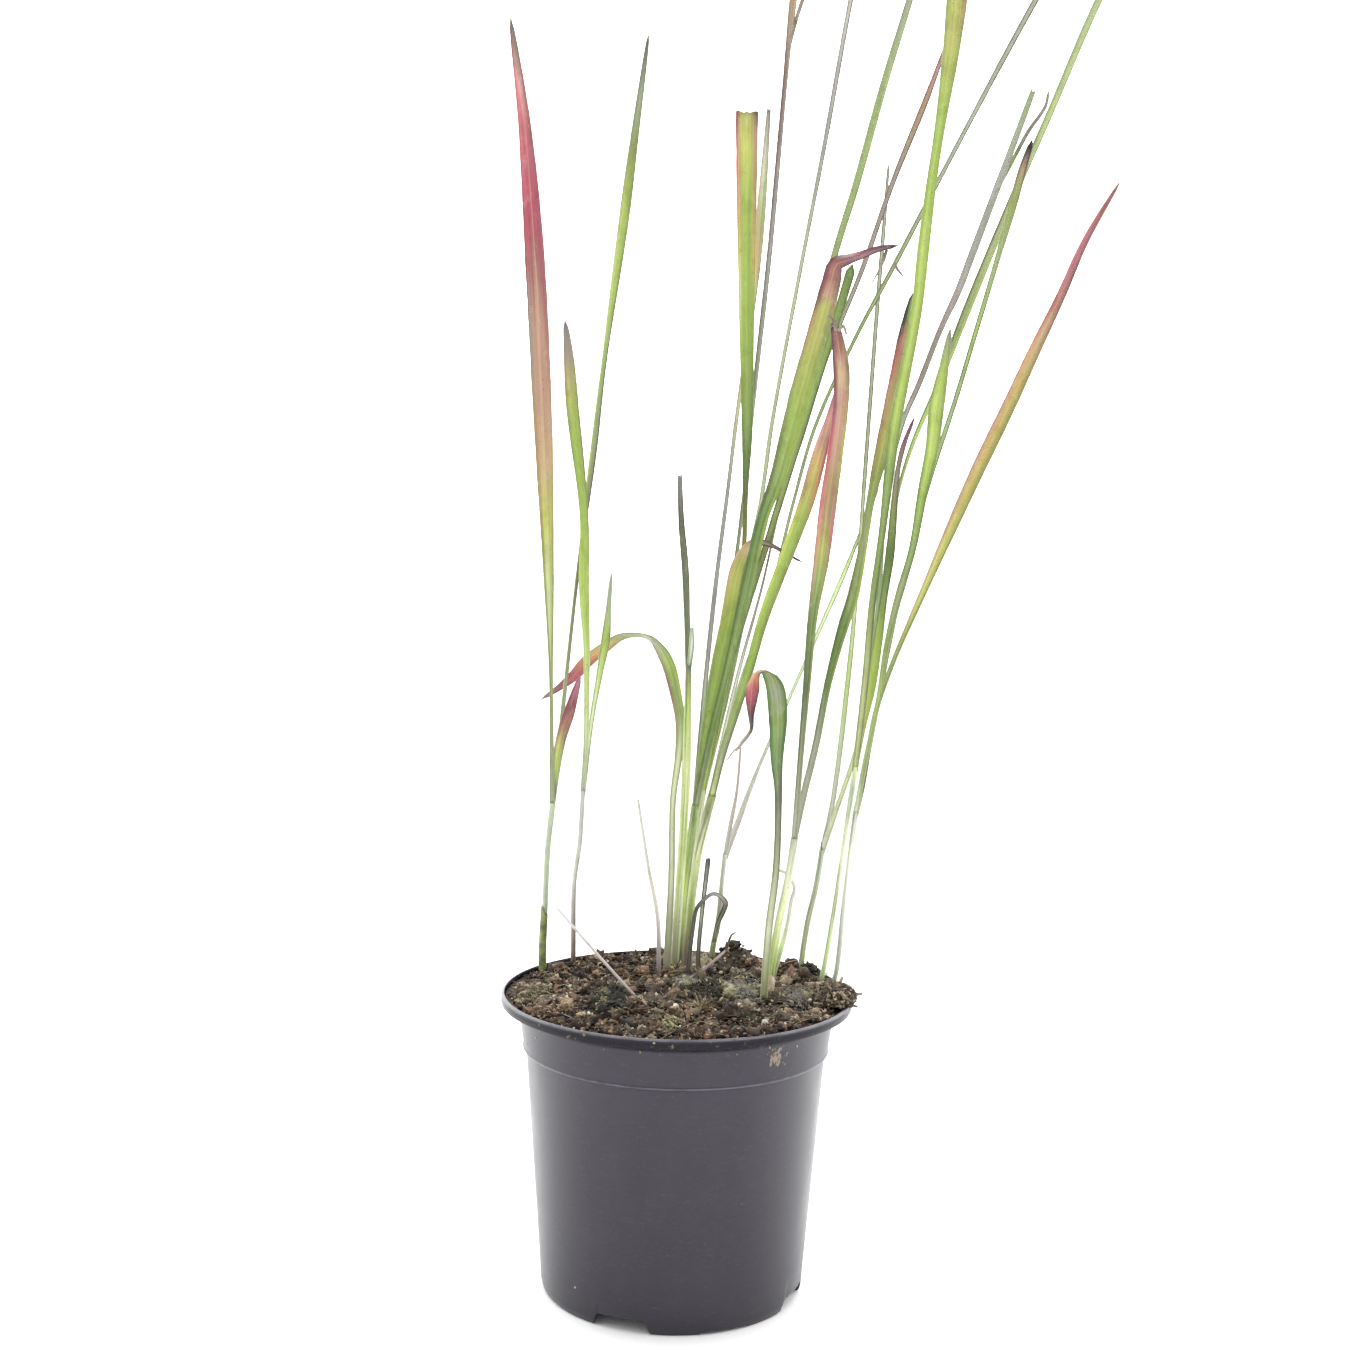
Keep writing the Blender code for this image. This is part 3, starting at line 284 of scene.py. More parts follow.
        (77, 26, 274, 3.0, 10), (78, 27, 291, 2.5, 20), (79, 28, 305, 1.9, 40), (81, 29, 315, 1.9, 40),
        (85, 30, 326, 0.5, 40),
    )),
    "leaf_tall_lime": ("shoot_right_middle", 1, 1.6, "point", (
        (70, 26, 219, 1.5, 20), (74, 29, 249, 1.5, 50), (77, 32, 280, 1.5, 60), (81, 34, 302, 1.5, 60),
        (86, 36, 318, 1.9, 55), (95, 38, 340, 2.2, 50), (103, 41, 362, 2.9, 40), (114, 46, 390, 2.9, 40),
        (122, 50, 410, 2.6, 45), (136, 56, 443, 2.6, 45), (155, 66, 488, 2.7, 40), (167, 72, 510, 2.2, 30),
        (179, 78, 532, 0.4, 20),
    )),
    "leaf_right_lime": ("shoot_right_outer", -1, 1.6, "point", (
        (68, 10, 195, 1.5, 10), (72, 5, 221, 1.5, 30), (74, 0, 242, 1.7, 30), (77, -5, 259, 2.4, 20),
        (81, -12, 278, 2.3, 10), (83, -20, 298, 3.3, 0), (84.7, -27, 312, 4.2, 0), (85.2, -34, 328, 4.8, 0),
        (86.2, -41, 340, 2.9, 0), (87, -48, 352, 0.3, 0),
    )),
    "leaf_right_red": ("shoot_right_outer", 0, 1.8, "point", (
        (68, 14, 187, 1.5, 0), (72, 12, 216, 1.6, 10), (78, 10, 236, 1.4, 20), (86, 8, 257, 2.1, 10),
        (98, 4, 288, 4.0, 0), (106, 1, 308, 4.6, 0), (115, -2, 329, 4.6, 0), (123, -6, 349, 3.9, 0),
        (131, -9, 368, 3.0, 0), (138.2, -13, 387, 2.1, 0), (148, -18, 406, 0.3, 0),
    )),
    "leaf_dark_tip": ("shoot_right_outer", 1, 1.6, "point", (
        (69, 16, 194, 1.3, 10), (73, 17, 218, 1.5, 40), (78, 17, 248, 1.5, 55), (83, 16, 275, 1.5, 55),
        (90, 15, 304, 2.0, 55), (98, 14, 332, 2.0, 55), (104, 13, 355, 2.0, 55), (111, 12, 382, 1.8, 35),
        (116, 11, 402, 2.5, 15), (119, 10, 415, 2.2, 10), (122, 10, 425, 0.7, 10),
    )),
}

# Leaves, straws and dry pieces that stand in the soil on their own, with the first station below it.
SOIL_LEAVES = {
    "leaf_arch": ("point", (
        (-4, 31, 107, 2.3, 0), (-4, 31, 114, 2.3, 0), (-3, 30, 147, 2.0, 10), (-3, 32, 178, 2.0, 20),
        (-1, 36, 197, 2.7, 20), (-1, 39, 209, 3.3, 20), (-3, 44, 219, 4.0, 15), (-6, 49, 229, 4.6, 20),
        (-11, 55, 236, 5.0, 50), (-17, 62, 239, 5.2, 75), (-25, 68, 238, 5.4, 60), (-32, 73, 233, 6.0, 50),
        (-39, 78, 227, 6.0, 45), (-45, 82, 220, 4.8, 40), (-51, 85, 215, 2.7, 40), (-58, 88, 210, 0.5, 40),
    )),
    "leaf_hooked": ("point", (
        (32, -9, 106, 2.2, 0), (32, -9, 112, 2.2, 0), (33, -12, 138, 2.4, 10), (35, -14, 161, 2.3, 20),
        (35, -18, 187, 2.3, 20), (34, -20, 202, 4.0, 10), (34, -22, 216, 6.0, 0), (33, -24, 226, 6.4, 10),
        (31, -26, 231.5, 5.6, 35), (28.5, -28.5, 234, 5.2, 85), (25.5, -31.5, 233, 5.2, 105),
        (24.5, -33.5, 229, 5.2, 140), (24, -34, 224, 3.7, 160), (24, -35, 219, 1.7, 160),
        (24, -36, 214, 0.8, 160), (21, -37, 210, 0.9, 160), (19, -38, 207, 0.4, 160),
    )),
    "straw_left": ("cut", (
        (-10, -13, 108, 1.1, 0), (-13, -11, 110, 1.1, 0), (-30, 4, 124, 1.1, 0), (-46, 18, 138, 1.0, 0),
    )),
    "straw_middle": ("cut", (
        (-7, 25, 107, 1.2, 0), (-7, 26, 113, 1.2, 0), (-8, 37, 131, 1.2, 0), (-12, 48, 148, 1.0, 0),
        (-17, 58, 174, 0.8, 0),
    )),
    "straw_short": ("cut", (
        (8, 24, 108, 1.2, 0), (10, 25, 113, 1.2, 0), (15, 28, 117, 1.2, 0), (20, 31, 121, 0.9, 0),
    )),
    "curled_leaf": ("cut", (
        (4, 24, 107, 1.2, 0), (4, 24, 113, 1.2, 0), (6, 24, 133, 1.2, 10), (7, 23, 138, 1.2, 30),
        (10, 22, 142, 1.4, 50), (13, 22, 144, 1.6, 60), (16, 22, 143, 2.0, 60), (18, 23, 140, 2.3, 40),
        (17, 24, 136, 1.9, 30), (15, 25, 131, 1.5, 30), (14, 26, 124, 1.2, 30),
    )),
    "dark_stub": ("cut", (
        (9, 28, 107, 1.2, 0), (8, 28, 117, 1.2, 0), (9, 25, 135, 1.2, 0), (10, 22, 147, 1.3, 0),
        (11, 20, 158, 1.5, 0),
    )),
    "tendril": ("cut", (
        (35, 6, 106, 1.4, 0), (35, 6, 112, 1.4, 0), (39, 6, 128, 1.3, 0), (41, 5, 138, 1.1, 0),
        (42, 4, 146, 1.0, 0), (43, 3, 151, 1.0, 0), (41, 2, 155, 0.9, 0), (39, 1, 157, 0.8, 0),
        (36, 0, 158, 0.7, 0),
    )),
}

# The grey leaf's margin is torn, and the torn strand leans away from it.
TORN_LEAF = "leaf_grey_cut"
TORN_STRAND = (
    (119, 70, 416, 0.9, 30), (123.7, 72, 425, 1.1, 30), (127.7, 74, 433, 1.1, 30),
    (132, 75, 441, 1.1, 30), (138, 76, 450, 0.9, 30), (139, 76, 456, 0.5, 30),
)

# Colours as the eye sees them, 0 to 255.
PALETTE = {
    "pale_green": (200, 206, 164),
    "grey_green": (154, 164, 138),
    "grey": (166, 168, 158),
    "grey_dark": (128, 126, 118),
    "stalk": (152, 158, 118),
    "stalk_dark": (98, 108, 78),
    "olive": (146, 158, 90),
    "olive_dark": (104, 114, 68),
    "sage": (152, 170, 112),
    "sage_pale": (172, 186, 126),
    "green": (140, 164, 90),
    "green_dark": (104, 134, 66),
    "green_deep": (84, 112, 56),
    "green_blue": (112, 140, 86),
    "lime": (178, 200, 98),
    "lime_pale": (202, 210, 146),
    "lime_deep": (156, 182, 80),
    "lime_warm": (194, 202, 96),
    "yellow_olive": (176, 178, 94),
    "tan": (198, 170, 128),
    "tan_dark": (166, 138, 98),
    "tan_rose": (188, 146, 124),
    "tan_yellow": (200, 176, 104),
    "salmon": (208, 150, 118),
    "orange": (200, 132, 88),
    "red": (180, 98, 90),
    "red_brown": (158, 104, 96),
    "red_dark": (140, 74, 74),
    "rose": (200, 116, 122),
    "rose_pale": (216, 156, 154),
    "crimson": (176, 82, 100),
    "dusty_red": (170, 106, 108),
    "pink": (196, 124, 128),
    "maroon": (112, 58, 68),
    "purple": (134, 84, 98),
    "purple_dark": (86, 58, 70),
    "brown": (124, 102, 82),
    "brown_grey": (150, 138, 124),
    "mauve": (180, 166, 166),
    "straw": (170, 154, 128),
    "straw_grey": (170, 164, 150),
    "straw_dark": (120, 102, 84),
    "black": (54, 48, 44),
    "dead": (88, 80, 66),
    "white_sheath": (222, 216, 196),
}

# Colours of each blade and stem from its foot to its end: down the middle and along both margins, or
# down the middle, along the left margin and along the right one. Each is the colour at a station,
# counted from 0 at the foot. One without a number is at the next whole station. Between two stations
# with a colour, the two are blended.
COLOURS = {
    "leaf_left_long": """
        grey_green, pale_green, lime_pale, 2.4 lime_warm, 2.8 tan, 3.2 tan_rose, 3.7 tan_rose, red_brown,
        4.3 crimson, 4.7 crimson, 5.1 rose, 5.5 rose_pale, 5.8 brown_grey, grey_dark;
        stalk, olive, olive, 2.6 tan_dark, tan_dark, 3.6 brown_grey, red_brown, 4.5 crimson, rose, 5.5 rose,
        5.85 red_brown, grey_dark;
        stalk, olive, olive, 2.8 tan, 3.4 tan_rose, dusty_red, 4.4 crimson, red_brown, 5.6 red_brown,
        grey_dark""",
    "leaf_left_short": """
        grey_green, lime, 1.7 yellow_olive, 2.2 tan_dark, 2.8 red_brown, 3.2 red_dark, dusty_red;
        green, 1.4 olive, tan_dark, 2.6 red_dark, 3.3 maroon, purple;
        green, 1.4 olive, brown, 2.6 red_brown, 3.3 red_dark, red_brown""",
    "leaf_left_thin": """
        grey_green, stalk, stalk_dark, stalk, green, 4.7 lime, 5.2 lime, 5.8 olive, 6.4 grey_green,
        grey_dark;
        stalk, olive, olive, lime, lime, lime_pale, olive, grey_dark;
        stalk, 2 stalk_dark, stalk_dark, stalk_dark, green, olive, grey_dark""",
    "leaf_back_wide": """
        grey_green, lime_pale, 2.2 lime, lime, lime_deep, 4.8 lime_deep, 5.3 yellow_olive, brown_grey,
        grey_dark;
        grey_green, 2 lime, 3.4 lime, 4.4 green, olive, 5.6 tan_dark, brown_grey, grey_dark;
        grey_green, 2 lime, 4 green, olive, 5.6 olive, 6.2 brown_grey, grey_dark""",
    "leaf_back_short": """
        grey_green, pale_green, lime, lime, 5 grey_green;
        stalk, 2 green, olive, 5 grey""",
    "leaf_cut_dark": """
        stalk_dark, 2 stalk_dark, stalk_dark, grey_dark;
        olive_dark, 3 dead, grey_dark""",
    "leaf_stub": """
        olive, pale_green, grey;
        stalk_dark, 2 grey_green""",
    "leaf_bent_purple": """
        stalk, green_dark, green, 4 green_dark, green, 5.8 lime_deep, 6.6 yellow_olive, 7.2 yellow_olive,
        7.6 tan_rose, 8.2 red_brown, red_brown, purple, purple, maroon, black;
        stalk_dark, green_deep, 4 green_deep, olive_dark, olive, 6.8 tan_dark, 7.3 brown, maroon, maroon,
        9.8 mauve, 10.6 pink, 11.3 maroon, purple_dark, black;
        stalk, green_dark, 3 green, 5 lime_deep, lime_deep, olive, 7.4 tan_dark, brown, purple, maroon,
        12 maroon, black""",
    "leaf_wide_green": """
        olive, lime_deep, lime_deep, lime_deep, 3.7 lime_warm, 4.3 yellow_olive, tan, brown_grey, brown,
        9 dead;
        stalk, green, green, yellow_olive, tan, tan, brown, dead, 9 dead;
        stalk_dark, green_dark, green_dark, green_dark, olive_dark, tan_dark, brown, dead, 9 dead""",
    "leaf_bent_rear": """
        grey_green, green, 3 olive, 5 green, green, green_dark;
        stalk, green_dark, 3 olive_dark, 5 green_deep, green_dark, olive_dark""",
    "leaf_cut_slim": """
        grey_green, 1.6 stalk, 2.2 grey_dark, 4 grey_dark, sage, tan_yellow, 6.6 tan, sage_pale,
        7.5 pale_green, straw_grey;
        grey_dark, 4.4 grey_dark, tan_dark, tan_dark, tan, 7.6 straw_grey, brown_grey;
        grey, 2 grey_dark, 4.4 grey_dark, stalk, stalk, sage_pale, 7.6 straw_grey, brown_grey""",
    "leaf_cut_broad": """
        lime, 2 green_dark, olive, olive_dark, 4.6 green_dark, green, lime_deep, lime_deep, 7.6 lime_warm,
        yellow_olive;
        olive, 3 tan_dark, olive_dark, green_dark, 5.6 lime_deep, 6.2 lime_pale, 6.8 tan_yellow, 7.2 salmon,
        7.7 tan_rose, red_brown;
        olive, 3 olive, olive_dark, green_dark, lime_deep, 6.6 tan_yellow, 7.2 tan_dark, 7.7 tan_rose,
        brown""",
    "leaf_tall_right": """
        green, 3 olive, sage, 6 sage, sage, grey_green, tan, red;
        olive_dark, 4 olive, 6 sage, sage, brown_grey, red_dark, purple;
        olive, 4 olive, 6 green, sage_pale, stalk, red_dark, purple""",
    "leaf_tall_left": """
        green, stalk, green, stalk_dark, stalk_dark, grey_dark, brown, 6.6 brown_grey, tan_dark, salmon,
        red;
        olive_dark, 3 olive_dark, 5 dead, dead, 6.7 brown, tan_dark, red_dark, purple;
        olive, 3 stalk, 5 grey_dark, brown_grey, tan, red_dark, purple""",
    "leaf_tall_mid": """
        green, 2 green_dark, stalk, stalk, stalk, grey_dark, grey, tan, red;
        olive_dark, 3 olive, stalk, stalk, grey_dark, 8 brown, red_dark""",
    "leaf_lime_red": """
        lime, stalk, green, lime_deep, lime_deep, 5.6 lime_deep, 6.2 yellow_olive, 6.8 tan_yellow,
        7.3 tan_rose, tan_rose, red;
        stalk_dark, 2 olive, green, lime, 5.4 lime_warm, 6.3 tan_dark, 6.9 tan, 7.4 rose_pale, pink, purple;
        stalk_dark, 2 olive_dark, green_dark, olive, 5.6 olive, 6.2 orange, 6.7 red, 7.2 crimson, red_dark,
        purple""",
    "leaf_brown_thin": """
        lime, pale_green, 3 grey, stalk, grey, stalk, brown_grey, brown_grey, tan_dark, tan_rose;
        stalk, 3 grey_dark, 5 brown, stalk_dark, grey_dark, brown, brown, red_brown""",
    "leaf_far_thin": """
        pale_green, 2 lime, 4 grey_green, green, green, olive, grey_green, grey_green, tan, red;
        stalk, 3 olive, 5 stalk, olive_dark, 8 stalk_dark, brown, 11 red_dark""",
    "leaf_dry_short": """
        straw_grey, 3 straw_grey;
        grey, 3 straw""",
    "leaf_dry_long": """
        straw_grey, 3 straw_grey, sage_pale, 6 lime, olive, straw;
        grey, 4 grey_green, 7 olive_dark, straw_dark""",
    "leaf_red_broad": """
        grey, stalk, stalk_dark, green_dark, 3.6 green, 4.2 yellow_olive, 4.8 tan_dark, 5.5 tan_dark,
        tan_rose, tan_rose, 7.8 tan, 8.4 red_brown, red_dark;
        stalk, stalk_dark, green_deep, olive_dark, 3.7 tan_rose, 4.4 salmon, rose, 5.7 red, 6.4 crimson,
        purple, 7.6 maroon, 9 purple_dark;
        stalk, stalk, olive, green, 3.7 olive, 4.2 tan_dark, 4.7 rose, 5.2 tan_dark, yellow_olive, tan_dark,
        brown, 8.5 tan_dark, maroon""",
    "leaf_front_long": """
        grey, 2 grey, green_dark, green_dark, green, stalk, green, yellow_olive, tan_dark, 9.5 tan_rose,
        tan_dark, 10.5 green, green;
        stalk, 3 olive_dark, green_deep, olive_dark, olive, olive, tan_dark, 8.7 tan_rose, 9.1 red,
        9.6 red_brown, 9.9 black, 11 black;
        stalk, 3 olive, green, 6 lime, olive, olive, lime_deep, 9.6 red_dark, 10.2 brown, black""",
    "leaf_grey_cut": """
        grey, yellow_olive, 3 sage, green, stalk, grey, brown_grey, brown_grey, mauve, grey, grey, sage;
        stalk, 3 olive, 5 stalk_dark, grey_dark, grey_dark, brown_grey, 10 grey, 12 stalk""",
    "leaf_far_stalk": """
        grey, grey, lime, pale_green, stalk, 6 grey_green, grey;
        stalk, 3 olive, stalk_dark, 6 stalk_dark, grey_dark""",
    "leaf_bright": """
        lime_pale, lime_pale, green, green, green, lime, lime, lime, lime_deep, lime_deep, yellow_olive,
        yellow_olive, tan, red;
        stalk, 2 olive, 4 green_dark, green, 7 lime_deep, olive, green, olive, olive, red_dark, red_dark;
        stalk, 2 olive_dark, 4 green_dark, green, 7 lime_deep, 9 green, olive, 10.6 tan_dark, olive_dark,
        red_dark, red_dark""",
    "leaf_inner_lime": """
        lime_warm, lime_warm, lime, lime, green, green_dark, olive, brown_grey, 9 purple;
        olive, 2 lime, green, olive_dark, 6 olive_dark, brown, 9 purple""",
    "leaf_tall_lime": """
        lime, lime, green_dark, stalk_dark, green, lime, lime_deep, sage, sage_pale, sage, sage_pale,
        sage_pale, tan, red;
        olive, 3 olive_dark, 5 green_dark, 7 olive_dark, 9 brown, olive, grey_green, 13 red_dark;
        olive, 3 olive, 5 lime, 7 lime, 9 sage_pale, 11 sage_pale, 13 red_dark""",
    "leaf_right_lime": """
        pale_green, green, lime, green, stalk, green, lime_deep, lime, lime, lime_deep, grey_green;
        stalk, 3 olive, 5 green_dark, green_dark, green, olive, olive, brown_grey""",
    "leaf_right_red": """
        grey_green, green, sage, sage_pale, lime_warm, 6 tan_yellow, 7.4 tan_yellow, 8.2 tan, 8.7 tan_rose,
        9.3 dusty_red, dusty_red, 10.6 red_brown, tan_rose;
        stalk, olive_dark, 3 olive, tan, 6 tan_rose, tan_rose, salmon, 8.8 red, 9.4 pink, rose, red_brown;
        stalk, olive_dark, 3 olive, 5 olive, 7 olive, tan_dark, 8.8 red_brown, 9.3 brown, red_brown,
        tan_rose""",
    "leaf_dark_tip": """
        stalk, lime, olive, stalk, sage, 6 sage, lime_deep, sage, olive, 9.6 olive, tan_dark, 10.4 brown,
        10.7 black, black;
        stalk_dark, 4 green_dark, 7 olive_dark, olive, olive, 9.8 brown, 10.5 black, black""",
    "leaf_arch": """
        dead, stalk, pale_green, 4 pale_green, sage, green, lime_deep, grey_green, grey, stalk, tan_yellow,
        orange, 12.6 red, 13.2 crimson, red_dark, brown_grey;
        dead, stalk, 4 olive, tan_dark, red_brown, brown_grey, tan_dark, olive, olive, 10.7 tan_dark,
        11.3 orange, red_brown, 12.8 crimson, 14 red_dark, brown_grey;
        dead, stalk, 4 olive, green, lime, lime_deep, olive, olive, olive, yellow_olive, orange, 12.8 red,
        13.4 red_dark, 15 brown_grey""",
    "leaf_hooked": """
        dead, olive, pale_green, stalk, stalk_dark, green_blue, green, grey_green, sage, grey, 9.8 tan,
        10.2 orange, 10.9 red, 11.6 crimson, 12.3 red_dark, purple_dark, 13.8 dead, 15 straw_grey, mauve;
        dead, stalk, stalk, olive_dark, dead, green_deep, green_deep, green_dark, green_dark, olive_dark,
        brown, 10.6 orange, 11.2 red_dark, maroon, 12.7 black, 14 dead, straw_grey, mauve""",
    "straw_left": """
        straw_dark, straw_dark, straw_grey, grey;
        dead, 2 straw_dark, straw_grey""",
    "straw_middle": """
        black, dead, straw_grey, 4 grey;
        black, dead, brown_grey, 4 grey""",
    "straw_short": """
        straw_dark, straw_dark, 3 straw;
        straw_dark, 3 straw_dark""",
    "curled_leaf": """
        dead, 2 olive_dark, dead, 5 grey_dark, 7 brown, olive_dark, 10 olive;
        black, 3 dead, 6 stalk_dark, 8 black, 10 olive_dark""",
    "dark_stub": """
        dead, brown, pale_green, grey_green, dead;
        black, 2 stalk_dark, dead, black""",
    "tendril": """
        dead, olive_dark, lime, 4 straw_grey, 8 grey_green;
        dead, 2 straw_dark, 5 brown_grey, 8 stalk""",
    "shoot_left": """
        dead, olive_dark, 1.5 stalk_dark, grey_green, grey_green, grey_green;
        black, olive_dark, olive, 4 olive""",
    "shoot_left_back": """
        black, brown, 1.5 grey_dark, grey, 4 grey;
        black, dead, brown_grey, 4 grey_dark""",
    "shoot_centre": """
        dead, stalk, pale_green, lime_pale, lime_pale, lime, 5.6 olive, stalk_dark;
        dead, brown, lime, 4 green, 5.4 olive_dark, dead""",
    "shoot_centre_back": """
        dead, stalk_dark, lime, green, green;
        black, dead, olive_dark, 4 olive_dark""",
    "shoot_centre_rear": """
        dead, lime, lime_pale, pale_green, pale_green;
        black, dead, stalk_dark, 4 olive""",
    "shoot_centre_right": """
        dead, brown, lime, lime_pale, stalk, olive;
        black, brown, stalk_dark, 5 olive_dark""",
    "shoot_dry": """
        dead, olive, brown_grey, grey, grey;
        black, olive_dark, brown, 4 straw_grey""",
    "shoot_front": """
        white_sheath, 0.7 tan, lime_deep, 1.6 lime, lime_pale, pale_green, grey_green;
        tan, olive_dark, olive, stalk, stalk""",
    "shoot_right_inner": """
        brown, olive, stalk, 4 grey_green;
        dead, stalk_dark, stalk_dark, 4 stalk_dark""",
    "shoot_right_middle": """
        dead, lime, lime_pale, 4 grey_green, lime_pale;
        black, olive_dark, 3 stalk_dark, 5 olive""",
    "shoot_right_outer": """
        dead, grey_green, grey, pale_green, grey;
        black, stalk_dark, 3 grey_green, stalk_dark""",
}

# Looks of the grass.
RING_SPACING = 3.0
RING_SPACING_STEM = 2.5
# Degrees of a bend or twist from one ring to the next.
TURN_STEP = 6
# Thickness of a blade's sheet and of a papery sheath.
SHEET = 0.42
SHEATH_SHEET = 0.25
# Blades look a little broader than their solids.
WIDTH_GAIN = 1.05
EDGE_GAIN = 0.15
# A lower power keeps a pointed end broad for longer.
TIP_FULLNESS = 0.62
SLENDER_FOLD = 0.34
# How much broader some blades look than their solids.
BROADER = {
    "leaf_tall_mid": 1.22, "leaf_dry_long": 1.55, "leaf_bent_purple": 1.15, "leaf_grey_cut": 1.15,
    "leaf_tall_right": 1.05, "leaf_cut_slim": 1.15, "leaf_tall_lime": 1.15, "leaf_bright": 1.08,
    "leaf_tall_left": 1.12, "leaf_arch": 1.08, "leaf_dark_tip": 1.1, "leaf_cut_broad": 1.08,
    "leaf_red_broad": 0.95, "straw_middle": 1.5, "tendril": 1.5,
}
# Blades that stay broad to their ends: the leaf, its station, and the width there.
FULL_ENDS = {
    ("leaf_bent_rear", 7): 3.0, ("leaf_bent_purple", 11): 3.6, ("leaf_bent_purple", 12): 2.6,
    ("leaf_cut_slim", 2): 1.7, ("leaf_cut_slim", 3): 1.9, ("leaf_cut_slim", 4): 2.0,
    ("leaf_cut_slim", 5): 2.0, ("leaf_cut_slim", 8): 0.9, ("leaf_red_broad", 8): 5.2,
    ("leaf_red_broad", 9): 3.2,
}
# Loose sheaths: name, stations with their widths, the way they face and how far they wrap round, in
# degrees, and colours.
SHEATHS = (
    ("loose_left_sheath", ((-51.6, 30, 107, 3.4), (-52, 28.4, 118, 3.2), (-51.2, 24.6, 134, 2.9)), 150, 230,
     ("olive", "stalk_dark")),
    ("papery_sheath", ((33.2, -2, 107, 4.6), (33.4, -2.4, 111, 4.2), (34, -2.8, 115, 3.8)), 100, 210,
     ("white_sheath", "tan")),
)
# Each thread's stations are x, y, z and width.
TORN_THREADS = (
    ((66.6, -32, 379.8, 1.2), (65.4, -32, 376, 1.5), (64.4, -32, 373.4, 0.8), (61.8, -32, 368.5, 0.5)),
    ((69.2, -33, 375.4, 0.9), (70.4, -33, 373, 1.0), (72.3, -33, 371, 0.5)),
    ((47, -74, 348.6, 1.6), (46.4, -74, 351.6, 1.4), (44.2, -74.4, 353.3, 0.7)),
    ((47.6, -74.6, 348.6, 1.4), (49, -75, 350.1, 1.2), (50.2, -75.2, 347.4, 0.7)),
    ((46.5, -73.4, 351.2, 1.1), (45.2, -73.6, 350.2, 0.9), (44.5, -73.4, 348, 0.4)),
    ((18.6, 30, 119.5, 0.9), (20.5, 30, 125.8, 0.9), (22.4, 30, 127.4, 0.4)),
    ((55.0, 31.6, 155.1, 1.4), (54.5, 31.6, 163.0, 0.5)),
    ((35.9, 62, 466.5, 1.0), (38.9, 62, 479.7, 1.6), (42.2, 62, 489.8, 1.4), (44.6, 62, 498, 0.4)),
    ((19.6, -38, 208.4, 0.7), (17.8, -38, 206.7, 0.6), (15.8, -38, 203.6, 0.4)),
)
# How much a blade's width and flatness waver along it, and how uneven its edge is.
WAVE = 0.03
SWAY = 0.03
EDGE_UNEVENNESS = 0.02
STEM_SIDES = 16
STEM_GROOVE = 0.16
STRAW_SIDES = 10
STRAW_GROOVE = 0.2
STRAW_FLATNESS = 0.7
THREAD_SIDES = 6
THREAD_FLATNESS = 0.6
# Rings closer together, for sheaths and threads.
FINE_SPACING = 1.5
SHEATH_SIDES = 18
# How far a leaf's foot reaches into its shoot.
FOOT_OVERLAP = 2.5
STRAWS = ("straw_left", "straw_middle", "straw_short", "tendril")
# A blade with a stretch wider than this shows its midrib.
BROAD_BLADE = 4.4
VEIN_TONES = (0.79, 1.15)
# Slender stretches are lighter and greyer than broad ones. They count as no narrower than this
# share of the blade's greatest width.
BROAD_TONE = 0.74
SLENDER_TONE = 1.0
SLENDER_GREY = 0.30
SLENDER_WIDTHS = (1.2, 3.2)
LEAST_SHARE = 0.55
# The grass is paler near its foot, up to these heights on broad and on slender blades.
PALE_BROAD = (150, 230)
PALE_SLENDER = (150, 350)
FOOT_PALENESS = 0.62
FOOT_GREY = 0.22
LIGHTEST = 0.85
# Painted light and shade: the tone of the two halves of a folded blade, one painted lighter and one darker.
PAINTED_LIGHT_HALF = 1.06
PAINTED_SHADE_HALF = 0.92
MOTTLE_TINT = (0.70, 0.66, 0.62, 1)
DUST_COLOUR = (206, 206, 184)
SPECK_COLOUR = (104, 78, 60)
RIB_COLOUR = (206, 210, 160)

# Looks of the pot, with its colours in linear light.
POT_STEPS = 192
POT_SHARP_ANGLE = 35
POT_ROUNDING = 0.22
POT_ROUNDED_ANGLE = 50
POT_GLOSS = 0.27
POT_SHEEN = 0.5
POT_SHEEN_TINT = (0.93, 0.91, 1.0, 1.0)
POT_COLOURS = ((0.0138, 0.0112, 0.0167, 1), (0.0190, 0.0162, 0.0228, 1))
POT_GRAIN_COLOUR = (0.075, 0.072, 0.075, 1)
# Colour of the painted shade under the lip.
PAINTED_SHADE_COLOUR = (0.003, 0.002, 0.004, 1)
# Colour of the painted highlights on the lip's top edge and the collar's bead.
PAINTED_HIGHLIGHT_COLOUR = (0.115, 0.108, 0.130, 1)
DRIED_SOIL_COLOUR = (0.33, 0.27, 0.19, 1)
SCRATCH_COLOUR = (0.20, 0.20, 0.21, 1)
# Above this height, no notch or drain hole cuts the pot's wall.
PLAIN_FROM = 14.0
# Heights in metres of the painted shade on the lip's lower edge and in the fold under it, with a soft start
# and end.
PAINTED_SHADE_HEIGHTS = (0.1046, 0.1060, 0.1100, 0.1112)
# Dried soil shows above the first height, in metres, and fully above the second.
SOILED_HEIGHTS = (0.100, 0.110)
# Painted highlight bands: the lip's top edge, and the bead at the collar's foot.
PAINTED_HIGHLIGHT_BANDS = ((110.7, 111.7), (91.2, 92.4))
SMEAR_PLACE = (35.4, -45.6, 100.8)
SMEAR_REACH = 5.6
